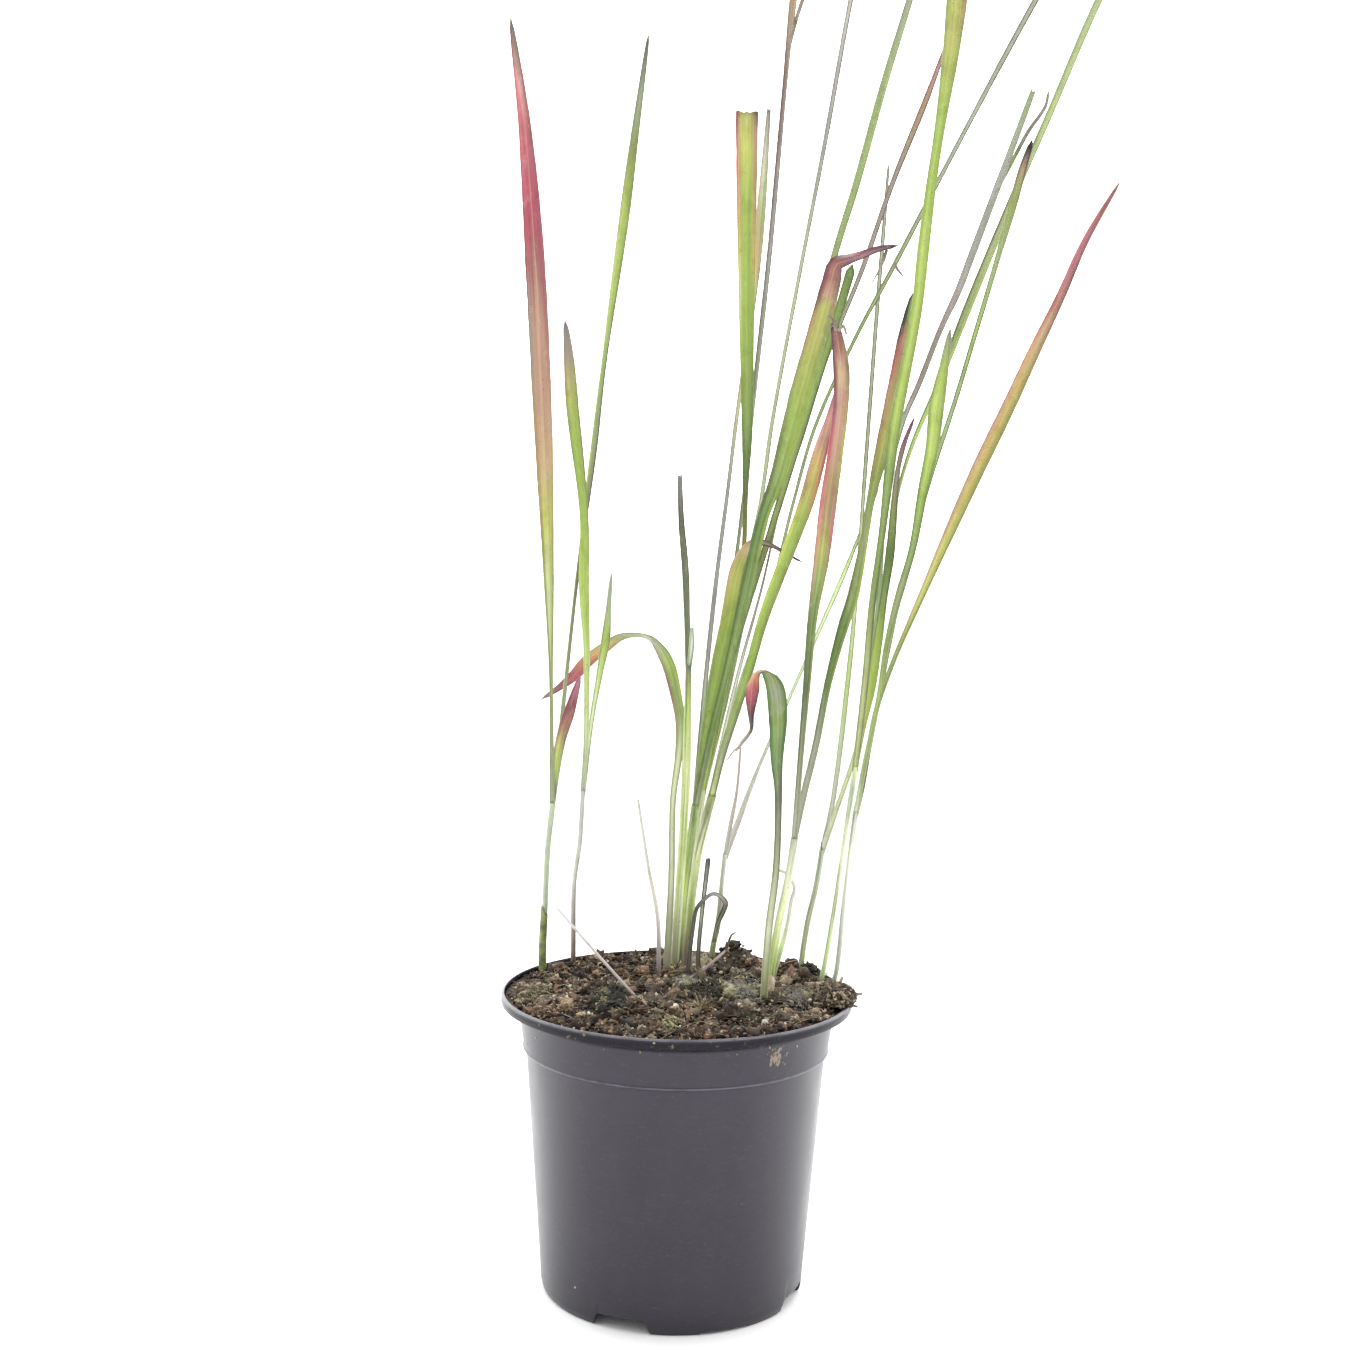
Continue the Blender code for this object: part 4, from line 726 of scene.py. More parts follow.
# Each splash is its angle from the front, its height and its size.
SPLASHES = (
    (-28.9, 110.6, 1.0), (-25.1, 104.5, 0.8), (-12, 105.0, 0.9), (-6.5, 110.4, 0.8), (4.8, 107.6, 0.7),
    (21.3, 104.1, 0.8), (47.3, 103.1, 0.9), (60.8, 6.0, 1.0), (-43.8, 11.9, 0.9), (34, 105.0, 1.1),
    (36, 102.5, 1.3), (39, 100.0, 1.2), (42, 97.5, 0.9), (-60, 101.0, 0.8), (112, 98, 0.9),
    (160, 109.6, 1.0), (205, 104, 0.8), (250, 108, 0.9), (290, 96, 0.8),
)

# Looks of the potting mix.
SOIL_STEPS = 180
SOIL_RINGS = 58
# How far from the pot's middle small pieces lie, and how far they reach.
SPREAD_LIMIT = 62.0
SOIL_REACH = 63
CRUMB_COUNT = 5200
LUMP_COUNT = 640
CHIP_COUNT = 130
FIBRE_COUNT = 620
CRUMB_SIZES = (0.6, 0.8, 1.0, 1.3, 1.8)
# Least, greatest and commonest size of a lump, and how many crumbs stick to it per millimetre.
LUMP_SIZES = (1.8, 7.6, 2.6)
STUCK_SHARE = 2.4
CHIP_LENGTHS = (2.2, 6.5)
FIBRE_LENGTHS = (2.5, 8)
MOULD_LENGTHS = (1.0, 3.2)
MOSS_SIZES = (0.5, 1.5)
MOSS_HEIGHT = 2.2
# Kind of the crumbs that stick to the pot.
NEUTRAL_KIND = 0.33
GRIT_COLOUR = (166, 152, 128)
# Dark, middle, light and pale tones, and where each lies from 0 to 1. The kinds of crumb are
# red-brown, brown-grey, olive and grey mould.
TONE_PLACES = (0.0, 0.38, 0.72, 1.0)
CRUMB_TONES = (
    ((24, 14, 10), (80, 58, 44), (140, 112, 90), (196, 172, 144)),
    ((24, 19, 15), (82, 70, 58), (148, 133, 112), (210, 198, 172)),
    ((20, 20, 14), (66, 62, 46), (134, 128, 96), (202, 194, 156)),
    ((44, 44, 43), (90, 89, 86), (138, 136, 130), (194, 190, 180)),
)
# The four tones of the other small pieces.
OWN_TONES = {
    "bark_chips": ((40, 26, 20), (88, 62, 48), (136, 106, 82), (176, 154, 124)),
    "coir_fibres": ((58, 44, 32), (100, 82, 62), (146, 128, 100), (190, 178, 150)),
    "grey_mould": ((62, 62, 60), (104, 105, 104), (146, 146, 142), (200, 200, 192)),
    "moss_tufts": ((24, 24, 18), (60, 58, 40), (118, 114, 82), (176, 170, 132)),
    "perlite_grains": ((128, 120, 106), (178, 172, 158), (208, 204, 192), (226, 222, 212)),
    "rootlet_tuft": ((84, 70, 52), (128, 112, 84), (164, 150, 118), (196, 186, 156)),
}
# Each patch is x, y, reach in x, reach in y, kind of crumb, and how much lighter.
MIX_PATCHES = (
    (-50, -8, 12, 16, 0.45, 0.24), (-24, 26, 13, 16, 0.02, 0.02), (-22, -8, 9, 14, 0.9, -0.24),
    (-32, -40, 16, 8, 0.1, -0.10), (13, -6, 8, 12, 0.66, -0.26), (6, 44, 8, 16, 1.0, 0.70),
    (3, 14, 7, 9, 1.0, 0.50), (-27, -22, 9, 8, 0.7, -0.20), (24, 6, 8, 26, 0.98, 0.36),
    (40, 34, 9, 14, 0.08, 0.05), (43, -4, 9, 14, 0.98, 0.42), (27, -31, 8, 8, 0.62, -0.06),
    (39, -26, 9, 9, 0.2, 0.10), (-2, -42, 6, 8, 0.55, 0.22), (-8, -24, 8, 8, 0.6, 0.10),
    (22, 58, 7, 7, 0.05, -0.06), (53, 33, 6, 10, 0.6, -0.14), (-38, -39, 4, 4, 0.3, -0.25),
)
# Each patch is x, y, reach in x, reach in y, number of pieces, tone.
MOULD_PATCHES = (
    (-22, -6, 9, 14, 420, 0.16), (6, 48, 7, 14, 520, 0.98), (25, 6, 8, 24, 620, 0.76),
    (44, -4, 8, 14, 420, 0.80), (4, 14, 6, 9, 200, 0.86), (-10, 5, 4, 8, 110, 0.5),
    (-42, 52, 4, 6, 60, 0.4), (57, 28, 3, 5, 60, 0.6), (8, 22, 8, 10, 160, 0.66),
    (-4, -12, 6, 8, 120, 0.35),
)
MOSS_PATCHES = (
    (8, 1, 9, 15, 620, 0.16), (53, 30, 5, 9, 220, 0.14), (-21, -31, 4, 5, 70, 0.6),
    (-2, -43, 4, 6, 130, 0.78), (-52, -6, 8, 15, 240, 0.62), (27, -31, 6, 7, 160, 0.24),
    (33, -10, 4, 4, 40, 0.4),
)
# Each grain of perlite is x, y and size.
PERLITE = (
    (-40, 4, 1.7), (-40, -16, 2.2), (23, -18, 2.0), (31, -42, 2.8), (49, -10, 1.8), (38, -42, 1.4),
    (-31, -34, 1.3), (12, 42, 1.4), (-14, 48, 1.6),
)
# The tuft of dry rootlets: its x, its y, the number of rootlets and their reach.
DRY_TUFT = (9, -27, 26, 6.5)

# Looks of the clump: the kind of its crumbs, the map of its core, and how many bits stick to it.
CLUMP_KIND = 0.3
CLUMP_CORE_MAP = (0.12, 0.25)
CLUMP_LUMPS = 90
CLUMP_GRAINS = 620
CLUMP_CHIPS = 34
CLUMP_THREADS = 80
# Each splinter in the clump is x, y, z, length, turn and tilt.
CLUMP_SPLINTERS = (
    (65.5, -4, 112.8, 6.0, -12, 6), (66.3, -7.5, 113.4, 4.0, 20, 14), (63.5, -17, 112.2, 5.0, -40, -4),
    (61, 3.5, 115.6, 4.0, 60, 30), (52, -17.5, 112.6, 4.5, 200, 8), (56, -12, 116.8, 4.5, 140, 40),
)

# White studio: brightness of the surroundings before and behind the plant, and the floor's tones.
LIGHT_BEFORE = 0.94
LIGHT_BEHIND = 3.3
# Metres from the floor's middle to its edge.
STAGE_SIZE = 6.0
STAGE_COLOURS = ((0.96, 0.97, 0.97, 1), (0.99, 0.99, 0.985, 1))

# Every shoot, leaf and piece of grass in the soil; a node's place in this list seeds its noise.
NAMES = [*SHOOTS, *SHOOT_LEAVES, *SOIL_LEAVES]


# Meshes
def new_mesh():
    """An empty mesh whose faces carry a map: across the blade, and along it."""
    bm = bmesh.new()
    bm.loops.layers.uv.new("blade")
    return bm


def finish_mesh(bm, name, scale=1.0):
    bmesh.ops.scale(bm, verts=bm.verts, vec=(scale, scale, scale))
    mesh = bpy.data.meshes.new(name)
    bm.to_mesh(mesh)
    bm.free()
    return mesh


def add_object(name, data):
    made = bpy.data.objects.new(name, data)
    bpy.context.scene.collection.objects.link(made)
    return made


def add_piece(name, bm, material, replaced=(), smooth_angle=180):
    """Turns a mesh in millimetres into a piece of the object, in metres."""
    mesh = finish_mesh(bm, name, MM)
    mesh.materials.append(material)
    mesh.shade_smooth()
    mesh.set_sharp_from_angle(angle=math.radians(smooth_angle))
    piece = add_object(name, mesh)
    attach(piece, BODY)
    if replaced:
        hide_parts(*replaced)
    return piece


def bake(piece):
    """Makes the modifiers' result the piece's own mesh."""
    bpy.context.view_layer.update()
    graph = bpy.context.evaluated_depsgraph_get()
    mesh = bpy.data.meshes.new_from_object(piece.evaluated_get(graph))
    piece.modifiers.clear()
    piece.data = mesh
    mesh.name = piece.name


def thicken(piece, thickness):
    wall = piece.modifiers.new("wall", "SOLIDIFY")
    wall.thickness = thickness * MM
    wall.offset = 0.0
    wall.use_even_offset = False
    bake(piece)


def grid_between(bm, columns, rows):
    """A flat grid, and its corners as rows of columns."""
    made = bmesh.ops.create_grid(bm, x_segments=columns, y_segments=rows, size=1.0, calc_uvs=True)
    verts = sorted(made["verts"], key=lambda v: (round(v.co.y, 6), v.co.x))
    width = columns + 1
    return [verts[row * width:(row + 1) * width] for row in range(rows + 1)]


def map_rows(bm, rows, route):
    """Writes the map: across from 0 to 1, and the place in the table from 0 to 1."""
    layer = bm.loops.layers.uv["blade"]
    count = route[-1][-1]
    for row, station in zip(rows, route):
        for column, vert in enumerate(row):
            for loop in vert.link_loops:
                loop[layer].uv = (column / (len(row) - 1), station[-1] / count)


def close_tube(bm, rows, gap):
    """Joins the first and last column, and fills both ends."""
    verts = [vert for row in rows for vert in row]
    bmesh.ops.remove_doubles(bm, verts=verts, dist=gap)
    open_edges = [edge for edge in bm.edges if edge.is_boundary]
    bmesh.ops.holes_fill(bm, edges=open_edges, sides=0)
    bmesh.ops.recalc_face_normals(bm, faces=bm.faces)


def ease(low, high, value):
    """A smooth step from 0 at the low value to 1 at the high one."""
    share = min(max((value - low) / (high - low), 0.0), 1.0)
    return share * share * (3 - 2 * share)


# Routes of the grass
def smooth_route(stations, spacing):
    """Stations along a smooth curve through the given ones, with each one's place in the table."""
    points = [Vector(station[:3]) for station in stations]
    count = len(points)
    reach = [0.0]
    for first, second in zip(points, points[1:]):
        reach.append(reach[-1] + (second - first).length)

    def slope(index):
        low = max(index - 1, 0)
        high = min(index + 1, count - 1)
        span = reach[high] - reach[low]
        return [(b - a) / span for a, b in zip(stations[low], stations[high])]

    slopes = [slope(index) for index in range(count)]
    route = [(*stations[0], 0.0)]
    for index in range(count - 1):
        span = reach[index + 1] - reach[index]
        bend = Vector(slopes[index][:3]).angle(Vector(slopes[index + 1][:3]))
        turn = abs(stations[index + 1][-1] - stations[index][-1])
        steps = max(1 + int(span / spacing), int(math.degrees(bend) / TURN_STEP), int(turn / TURN_STEP))
        for step in range(1, steps + 1):
            t = step / steps
            a = 2 * t**3 - 3 * t**2 + 1
            b = t**3 - 2 * t**2 + t
            c = 3 * t**2 - 2 * t**3
            d = t**3 - t**2
            ends = zip(stations[index], slopes[index], stations[index + 1], slopes[index + 1])
            values = [a * p0 + b * span * m0 + c * p1 + d * span * m1 for p0, m0, p1, m1 in ends]
            route.append((*values, index + t))
    return route


def frames(route, turns):
    """Place, width direction, face normal, way along and length so far at each ring of a route."""
    points = [Vector(station[:3]) for station in route]
    made = []
    length = 0.0
    for index, point in enumerate(points):
        before = points[max(index - 1, 0)]
        after = points[min(index + 1, len(points) - 1)]
        length += (point - before).length
        along = (after - before).normalized()
        front = Vector((0, -1, 0))
        front = (front - along * front.dot(along)).normalized()
        side = along.cross(front)
        turn = math.radians(turns[index])
        across = side * math.cos(turn) + front * math.sin(turn)
        normal = front * math.cos(turn) - side * math.sin(turn)
        made.append((point, across, normal, along, length))
    return made


# Blades
def blade_thickness(width):
    thick = max(BLADE_THICKNESS, STALK_THICKNESS - STALK_NARROWING * width)
    return min(thick, max(width, 0.3))


def blade_widths(name, route, ending):
    """Widths along a route. A pointed end keeps its width for longer, then narrows in a curve."""
    gain = WIDTH_GAIN * BROADER.get(name, 1.0)
    widths = []
    before, end, count = route[0][3], route[-1][3], route[-1][-1]
    for station in route:
        width, place = station[3], station[-1]
        if place <= count - 1:
            before = width
        elif ending == "point":
            width = max(width, end + (before - end) * (count - place) ** TIP_FULLNESS)
        widths.append(max(width, 0.2) * gain + (EDGE_GAIN if place < count else 0))
    return widths


def add_blade(bm, name, stations, ending, seed):
    """A folded blade with a sunken midrib, slightly uneven margins, and a whole or torn end."""
    route = smooth_route(stations, RING_SPACING)
    widths = blade_widths(name, route, ending)
    columns = 8 if max(widths) > 3 else 6
    places = frames(route, [station[4] for station in route])
    last = len(route) - 1
    rows = grid_between(bm, columns, last)
    for index, (row, width, (point, across, normal, along, length)) in enumerate(zip(rows, widths, places)):
        slender = 1 - ease(*SLENDER_WIDTHS, width)
        hollow = BLADE_FOLD * width + blade_thickness(width) / 2 - SHEET / 2
        hollow += (SLENDER_FOLD - BLADE_FOLD) * width * slender
        wave = noise.noise(Vector((length / 17, seed * 3.1, 0)))
        ripple = noise.noise(Vector((length / 5, seed * 5.7, 4)))
        for column, vert in enumerate(row):
            share = column / columns
            out = 2 * share - 1
            edge = noise.noise(Vector((length / 2.5, seed * 7.3, 9 * out)))
            reach = width / 2 * out * (1 + WAVE * wave) + EDGE_UNEVENNESS * width * edge * abs(out) ** 6
            depth = hollow * (1 - out * out)
            sway = SWAY * width * ripple * out
            vert.co = point + across * reach - normal * (depth + sway)
            if index == last and ending == "point":
                vert.co = point + across * 0.08 * out - normal * 0.02
            if index == last and ending == "cut":
                tear = noise.noise(Vector((share * 6 + seed, 2.5, 0)))
                vert.co += along * (tear - 0.3)
    map_rows(bm, rows, route)


def make_leaf(name, stations, ending):
    bm = new_mesh()
    seed = NAMES.index(name)
    add_blade(bm, name, stations, ending, seed)
    if name == TORN_LEAF:
        add_blade(bm, name, TORN_STRAND, "point", seed + 0.5)
    leaf = add_piece(piece_name(name), bm, blade_material(name), (name,), 60)
    thicken(leaf, SHEET)


# Round stems
def add_stem(bm, stations, depth_of, sides, spacing, groove, seed):
    """A closed stem. Groove is the step where a sheath's margin overlaps, as a share of its radius."""
    route = smooth_route(stations, spacing)
    places = frames(route, [0] * len(route))
    rows = grid_between(bm, sides, len(route) - 1)
    for row, station, (point, across, normal, _, length) in zip(rows, route, places):
        width = station[3]
        depth = depth_of(width)
        for column, vert in enumerate(row):
            share = (column % sides) / sides
            angle = 2 * math.pi * share - 0.5 * math.pi + 0.35 * math.sin(seed)
            step = 1 + groove * (share - 0.5)
            grain = 1 + 0.03 * noise.noise(Vector((length / 3, seed, 3 * math.sin(angle))))
            vert.co = (point + across * math.cos(angle) * width / 2 * step * grain
                       + normal * math.sin(angle) * depth / 2 * step * grain)
    map_rows(bm, rows, route)
    close_tube(bm, rows, 1e-4)


def make_stem(name, stations, depth_of, sides, groove):
    bm = new_mesh()
    add_stem(bm, stations, depth_of, sides, RING_SPACING_STEM, groove, NAMES.index(name))
    add_piece(piece_name(name), bm, blade_material(name), (name,), 50)


def make_sheath(name, stations, facing, spread, colours):
    """A loose outer sheath round a stem's foot: a part of a tube, cut on a slant."""
    bm = new_mesh()
    route = smooth_route(stations, FINE_SPACING)
    places = frames(route, [0] * len(route))
    rows = grid_between(bm, SHEATH_SIDES, len(route) - 1)
    for index, (row, (point, across, normal, along, _)) in enumerate(zip(rows, places)):
        radius = route[index][3] / 2
        share = index / (len(rows) - 1)
        for column, vert in enumerate(row):
            part = column / SHEATH_SIDES - 0.5
            angle = math.radians(facing + spread * part)
            slant = share * radius * (2.5 * math.cos(3 * part) + 0.8 * noise.noise(Vector((7 * part, 2, 0))))
            vert.co = point + (across * math.cos(angle) + normal * math.sin(angle)) * radius + along * slant
    map_rows(bm, rows, route)
    sheath = add_piece(name, bm, sheath_material(name, colours), smooth_angle=60)
    thicken(sheath, SHEATH_SHEET)


def make_torn_threads():
    """Dead threads that hang from the bent and torn blades, and short splinters of stem."""
    name = "torn_threads"
    bm = new_mesh()
    for seed, stations in enumerate(TORN_THREADS):
        add_stem(bm, stations, lambda width: THREAD_FLATNESS * width, THREAD_SIDES, FINE_SPACING, 0.0, seed)
    add_piece(name, bm, sheath_material(name, ("dead", "brown_grey")), smooth_angle=60)


# Which station, name and slot each piece of grass has
def stations_of(name):
    """A node's stations. A leaf on a shoot starts a little below its shoot's top."""
    if name in SHOOTS:
        return SHOOTS[name][1]
    if name in SOIL_LEAVES:
        return SOIL_LEAVES[name][1]
    shoot, place, foot_width, _, stations = SHOOT_LEAVES[name]
    stations = [(x, y, z, FULL_ENDS.get((name, index), width), turn)
                for index, (x, y, z, width, turn) in enumerate(stations, 1)]
    below, top = (Vector(station[:3]) for station in SHOOTS[shoot][1][-2:])
    foot = top + Vector((0, place, LEAF_FOOT_GAP)) + (below - top).normalized() * FOOT_OVERLAP
    return [(*foot, foot_width, 0), *stations]


def piece_name(node):
    """A blade's or stem's own name: leaf_left_long becomes left_long_blade."""
    kind, _, rest = node.partition("_")
    if kind == "leaf":
        return rest + "_blade"
    if kind == "shoot":
        return rest + "_stem"
    return node + "_strand" if node in STRAWS else node + "_blade"


def make_grass():
    for name, (depth, stations) in SHOOTS.items():
        make_stem(name, stations, lambda width: depth, STEM_SIDES, STEM_GROOVE)
    for name in SHOOT_LEAVES:
        make_leaf(name, stations_of(name), SHOOT_LEAVES[name][3])
    for name, (ending, stations) in SOIL_LEAVES.items():
        if name in STRAWS:
            gain = BROADER.get(name, 1.0)
            round_stations = [(x, y, z, width * gain) for x, y, z, width, _ in stations]
            make_stem(name, round_stations, lambda width: STRAW_FLATNESS * width, STRAW_SIDES, STRAW_GROOVE)
        else:
            make_leaf(name, stations, ending)
    for sheath in SHEATHS:
        make_sheath(*sheath)
    make_torn_threads()


# Materials
def linear(colour):
    """An eye colour, 0 to 255, in linear light."""
    made = []
    for value in colour:
        share = value / 255
        made.append(share / 12.92 if share <= 0.04045 else ((share + 0.055) / 1.055) ** 2.4)
    return (*made, 1.0)


class Nodes:
    """Short ways to add the nodes of one material or world. Each gives the new node's output."""

    def __init__(self, owner):
        owner.use_nodes = True
        self.owner = owner
        self.tree = owner.node_tree

    def feed(self, target, value):
        """A socket takes a node's output or a plain value."""
        if isinstance(value, bpy.types.NodeSocket):
            self.tree.links.new(value, target)
        else:
            target.default_value = value

    def add(self, kind, inputs, output=0, **settings):
        node = self.tree.nodes.new(kind)
        for key, value in settings.items():
            setattr(node, key, value)
        for key, value in inputs.items():
            self.feed(node.inputs[key], value)
        return node.outputs[output]

    def math(self, operation, first, second=0.0):
        return self.add("ShaderNodeMath", {0: first, 1: second}, operation=operation)

    def plus(self, first, second):
        return self.math("ADD", first, second)

    def times(self, first, second):
        return self.math("MULTIPLY", first, second)

    def mix(self, factor, first, second, blend="MIX"):
        inputs = {0: factor, 6: first, 7: second}
        return self.add("ShaderNodeMix", inputs, 2, data_type="RGBA", blend_type=blend)

    def tint(self, colour, by):
        return self.mix(1.0, colour, by, "MULTIPLY")

    def between(self, value, low, high, to_low=0.0, to_high=1.0, curve="SMOOTHSTEP"):
        inputs = {0: value, 1: low, 2: high, 3: to_low, 4: to_high}
        return self.add("ShaderNodeMapRange", inputs, interpolation_type=curve)

    def band(self, value, low, full_from, full_to, high):
        """1 from full_from to full_to, and 0 below low and above high."""
        return self.times(self.between(value, low, full_from), self.between(value, full_to, high, 1.0, 0.0))

    def ramp(self, value, stops):
        node = self.tree.nodes.new("ShaderNodeValToRGB")
        elements = node.color_ramp.elements
        while len(elements) < len(stops):
            elements.new(1.0)
        for element, (place, colour) in zip(elements, stops):
            element.position = place
            element.color = colour
        self.feed(node.inputs[0], value)
        return node.outputs[0]

    def object_place(self):
        return self.add("ShaderNodeTexCoord", {}, "Object")

    def map_place(self):
        return self.add("ShaderNodeUVMap", {}, uv_map="blade")

    def parts(self, place):
        first = self.add("ShaderNodeSeparateXYZ", {0: place})
        return first.node.outputs

    def scaled(self, place, scale, shift=(0, 0, 0)):
        return self.add("ShaderNodeMapping", {"Vector": place, "Scale": scale, "Location": shift})

    def noise(self, place, scale, detail, roughness, distortion=0.0):
        inputs = {"Vector": place, "Scale": scale, "Detail": detail, "Roughness": roughness,
                  "Distortion": distortion}
        return self.add("ShaderNodeTexNoise", inputs)

    def bump(self, height, distance, strength=1.0):
        return self.add("ShaderNodeBump", {"Height": height, "Distance": distance, "Strength": strength})

    def finish(self, inputs):
        """Feeds the shader, and gives the finished material."""
        shader = self.tree.nodes["Principled BSDF"]
        for key, value in inputs.items():
            self.feed(shader.inputs[key], value)
        return self.owner


def new_material(name):
    return Nodes(bpy.data.materials.new(name))


def read_stops(text):
    """Stations and colours from a row of stops. One without a number is at the next whole station."""
    place = -1
    stops = []
    for stop in text.split(","):
        *number, colour = stop.split()
        place = float(number[0]) if number else int(place) + 1
        stops.append((place, colour))
    return stops


def palette_stops(text, stations):
    """Stops of a colour ramp along a blade. Slender stretches and those near the foot are paler."""
    count = len(stations) - 1
    least = LEAST_SHARE * max(station[3] for station in stations)
    made = []
    for place, colour in read_stops(text):
        below = min(int(place), count - 1)
        share = min(place - below, 1.0)
        height, width = (low * (1 - share) + high * share
                         for low, high in zip(stations[below][2:4], stations[below + 1][2:4]))
        slender = 1 - ease(*SLENDER_WIDTHS, max(width, least))
        low, high = (a * (1 - slender) + b * slender for a, b in zip(PALE_BROAD, PALE_SLENDER))
        near_foot = 1 - ease(low, high, height)
        tone = BROAD_TONE + (SLENDER_TONE - BROAD_TONE) * slender
        tone *= 1 + FOOT_PALENESS * near_foot
        red, green, blue, _ = linear(PALETTE[colour])
        blue += (SLENDER_GREY * slender + FOOT_GREY * near_foot) * (red - blue)
        green += FOOT_GREY * near_foot * (red - green)
        tone = min(tone, LIGHTEST / max(red, green))
        made.append((min(place / count, 1.0), (red * tone, green * tone, blue * tone, 1.0)))
    return made


def blade_material(name):
    """Blade or stem: middle and margin colours along it, fine veins, a midrib, mottling and specks."""
    nodes = new_material(piece_name(name))
    stations = stations_of(name)
    middle_stops, *margin_stops = (palette_stops(text, stations) for text in COLOURS[name].split(";"))
    count = len(stations) - 1
    round_stem = name in SHOOTS or name in STRAWS
    broad = not round_stem and max(station[3] for station in stations) > BROAD_BLADE
    seed = NAMES.index(name)
    place = nodes.map_place()
    solid_place = nodes.object_place()
    across, along, _ = nodes.parts(place)
    # The borders between colours wander along the veins.
    streak_place = nodes.scaled(place, (7, count * 0.7, 1), (seed, seed * 1.7, 0))
    streak = nodes.noise(streak_place, 1.0, 4.0, 0.6)
    unevenness = nodes.math("SUBTRACT", streak, 0.5)
    wandering = nodes.plus(along, nodes.times(unevenness, 1.1 / count))
    middle = nodes.ramp(wandering, middle_stops)
    margin = nodes.ramp(wandering, margin_stops[0])
    if len(margin_stops) > 1:
        right = nodes.ramp(wandering, margin_stops[1])
        margin = nodes.mix(nodes.between(across, 0.45, 0.55), margin, right)
    out = nodes.math("ABSOLUTE", nodes.math("SUBTRACT", nodes.times(across, 2.0), 1.0))
    if round_stem:
        edge = nodes.between(streak, 0.42, 0.68, 0.0, 0.85)
    else:
        ragged_out = nodes.plus(out, nodes.times(unevenness, 0.5))
        edge = nodes.between(ragged_out, 0.28 if len(margin_stops) > 1 else 0.40, 0.84, 0.0, 0.95)
    colour = nodes.mix(edge, middle, margin)
    # Painted light and shade: one half of a folded blade, or one side of a stem, is painted lighter and the
    # other darker.
    colour = nodes.tint(colour, nodes.between(across, 0.40, 0.62, PAINTED_LIGHT_HALF, PAINTED_SHADE_HALF))
    # Veins run the whole length.
    vein_place = nodes.scaled(place, (34 if broad else 20, count * 0.35, 1), (0, seed, 0))
    vein = nodes.noise(vein_place, 1.0, 2.0, 0.55)
    colour = nodes.tint(colour, nodes.between(vein, 0.3, 0.7, *VEIN_TONES))
    # Soft mottling, pale dust and small dead specks.
    mottle = nodes.noise(nodes.scaled(solid_place, (1, 1, 0.45)), 230.0, 4.0, 0.6)
    dimmed = nodes.tint(colour, MOTTLE_TINT)
    colour = nodes.mix(nodes.between(mottle, 0.50, 0.70, 0.0, 0.45), colour, dimmed)
    pale = nodes.noise(nodes.scaled(solid_place, (1, 1, 0.3), (0.3, 0.1, 0)), 520.0, 3.0, 0.5)
    colour = nodes.mix(nodes.between(pale, 0.58, 0.74, 0.0, 0.12), colour, linear(DUST_COLOUR))
    speck = nodes.noise(solid_place, 1500.0, 1.0, 0.4)
    colour = nodes.mix(nodes.between(speck, 0.70, 0.76, 0.0, 0.55), colour, linear(SPECK_COLOUR))
    if broad:
        rib = nodes.between(out, 0.0, 0.13, 0.16, 0.0)
        colour = nodes.mix(rib, colour, linear(RIB_COLOUR))
    height = nodes.plus(vein, nodes.times(mottle, 0.6))
    return nodes.finish({
        "Base Color": colour,
        "Roughness": nodes.between(mottle, 0.3, 0.7, 0.42, 0.62),
        "Normal": nodes.bump(height, 0.0001, 0.8),
        "Specular IOR Level": 0.35,
    })


def sheath_material(name, colours):
    """Papery sheath with fine ribs and stains."""
    nodes = new_material(name)
    fibre = nodes.noise(nodes.scaled(nodes.map_place(), (60, 2.5, 1)), 1.0, 3.0, 0.6)
    stain = nodes.noise(nodes.object_place(), 300.0, 4.0, 0.6)
    first, second = (linear(PALETTE[colour]) for colour in colours)
    colour = nodes.mix(nodes.between(stain, 0.35, 0.65), first, second)
    return nodes.finish({
        "Base Color": nodes.tint(colour, nodes.between(fibre, 0.3, 0.7, 0.72, 1.15)),
        "Roughness": nodes.between(stain, 0.3, 0.7, 0.5, 0.8),
        "Normal": nodes.bump(fibre, 0.0001),
    })


# Pot
def spin_profile(profile, sides):
    """A closed turned solid from (radius, height) points that start and end on the axis."""
    bm = new_mesh()
    verts = [bm.verts.new((radius, 0, height)) for radius, height in profile]
    edges = [bm.edges.new(pair) for pair in zip(verts, verts[1:])]
    bmesh.ops.spin(bm, geom=verts + edges, cent=(0, 0, 0), axis=(0, 0, 1),
                   angle=2 * math.pi, steps=sides, use_merge=True)
    bmesh.ops.remove_doubles(bm, verts=bm.verts, dist=1e-4)
    bmesh.ops.recalc_face_normals(bm, faces=bm.faces)
    return bm


def slope_radius(height, foot, foot_radius, top, top_radius):
    """Radius at a height on a tapered wall between its foot and its top."""
    share = (height - foot) / (top - foot)
    return foot_radius + share * (top_radius - foot_radius)


def body_radius(height):
    """Outer radius of the tapered body at a height."""
    return slope_radius(height, BODY_FOOT, BODY_FOOT_RADIUS, COLLAR_FOOT, BODY_TOP_RADIUS)


def wall_radius(height):
    """Outer radius of the pot at a height."""
    if height > BAND_FOOT:
        return LIP_RADIUS
    if height > COLLAR_TOP:
        return slope_radius(height, COLLAR_TOP, COLLAR_TOP_RADIUS, BAND_FOOT, LIP_RADIUS - 1)
    if height > COLLAR_FOOT:
        return slope_radius(height, COLLAR_FOOT, COLLAR_FOOT_RADIUS, COLLAR_TOP, COLLAR_TOP_RADIUS)
    return body_radius(height)


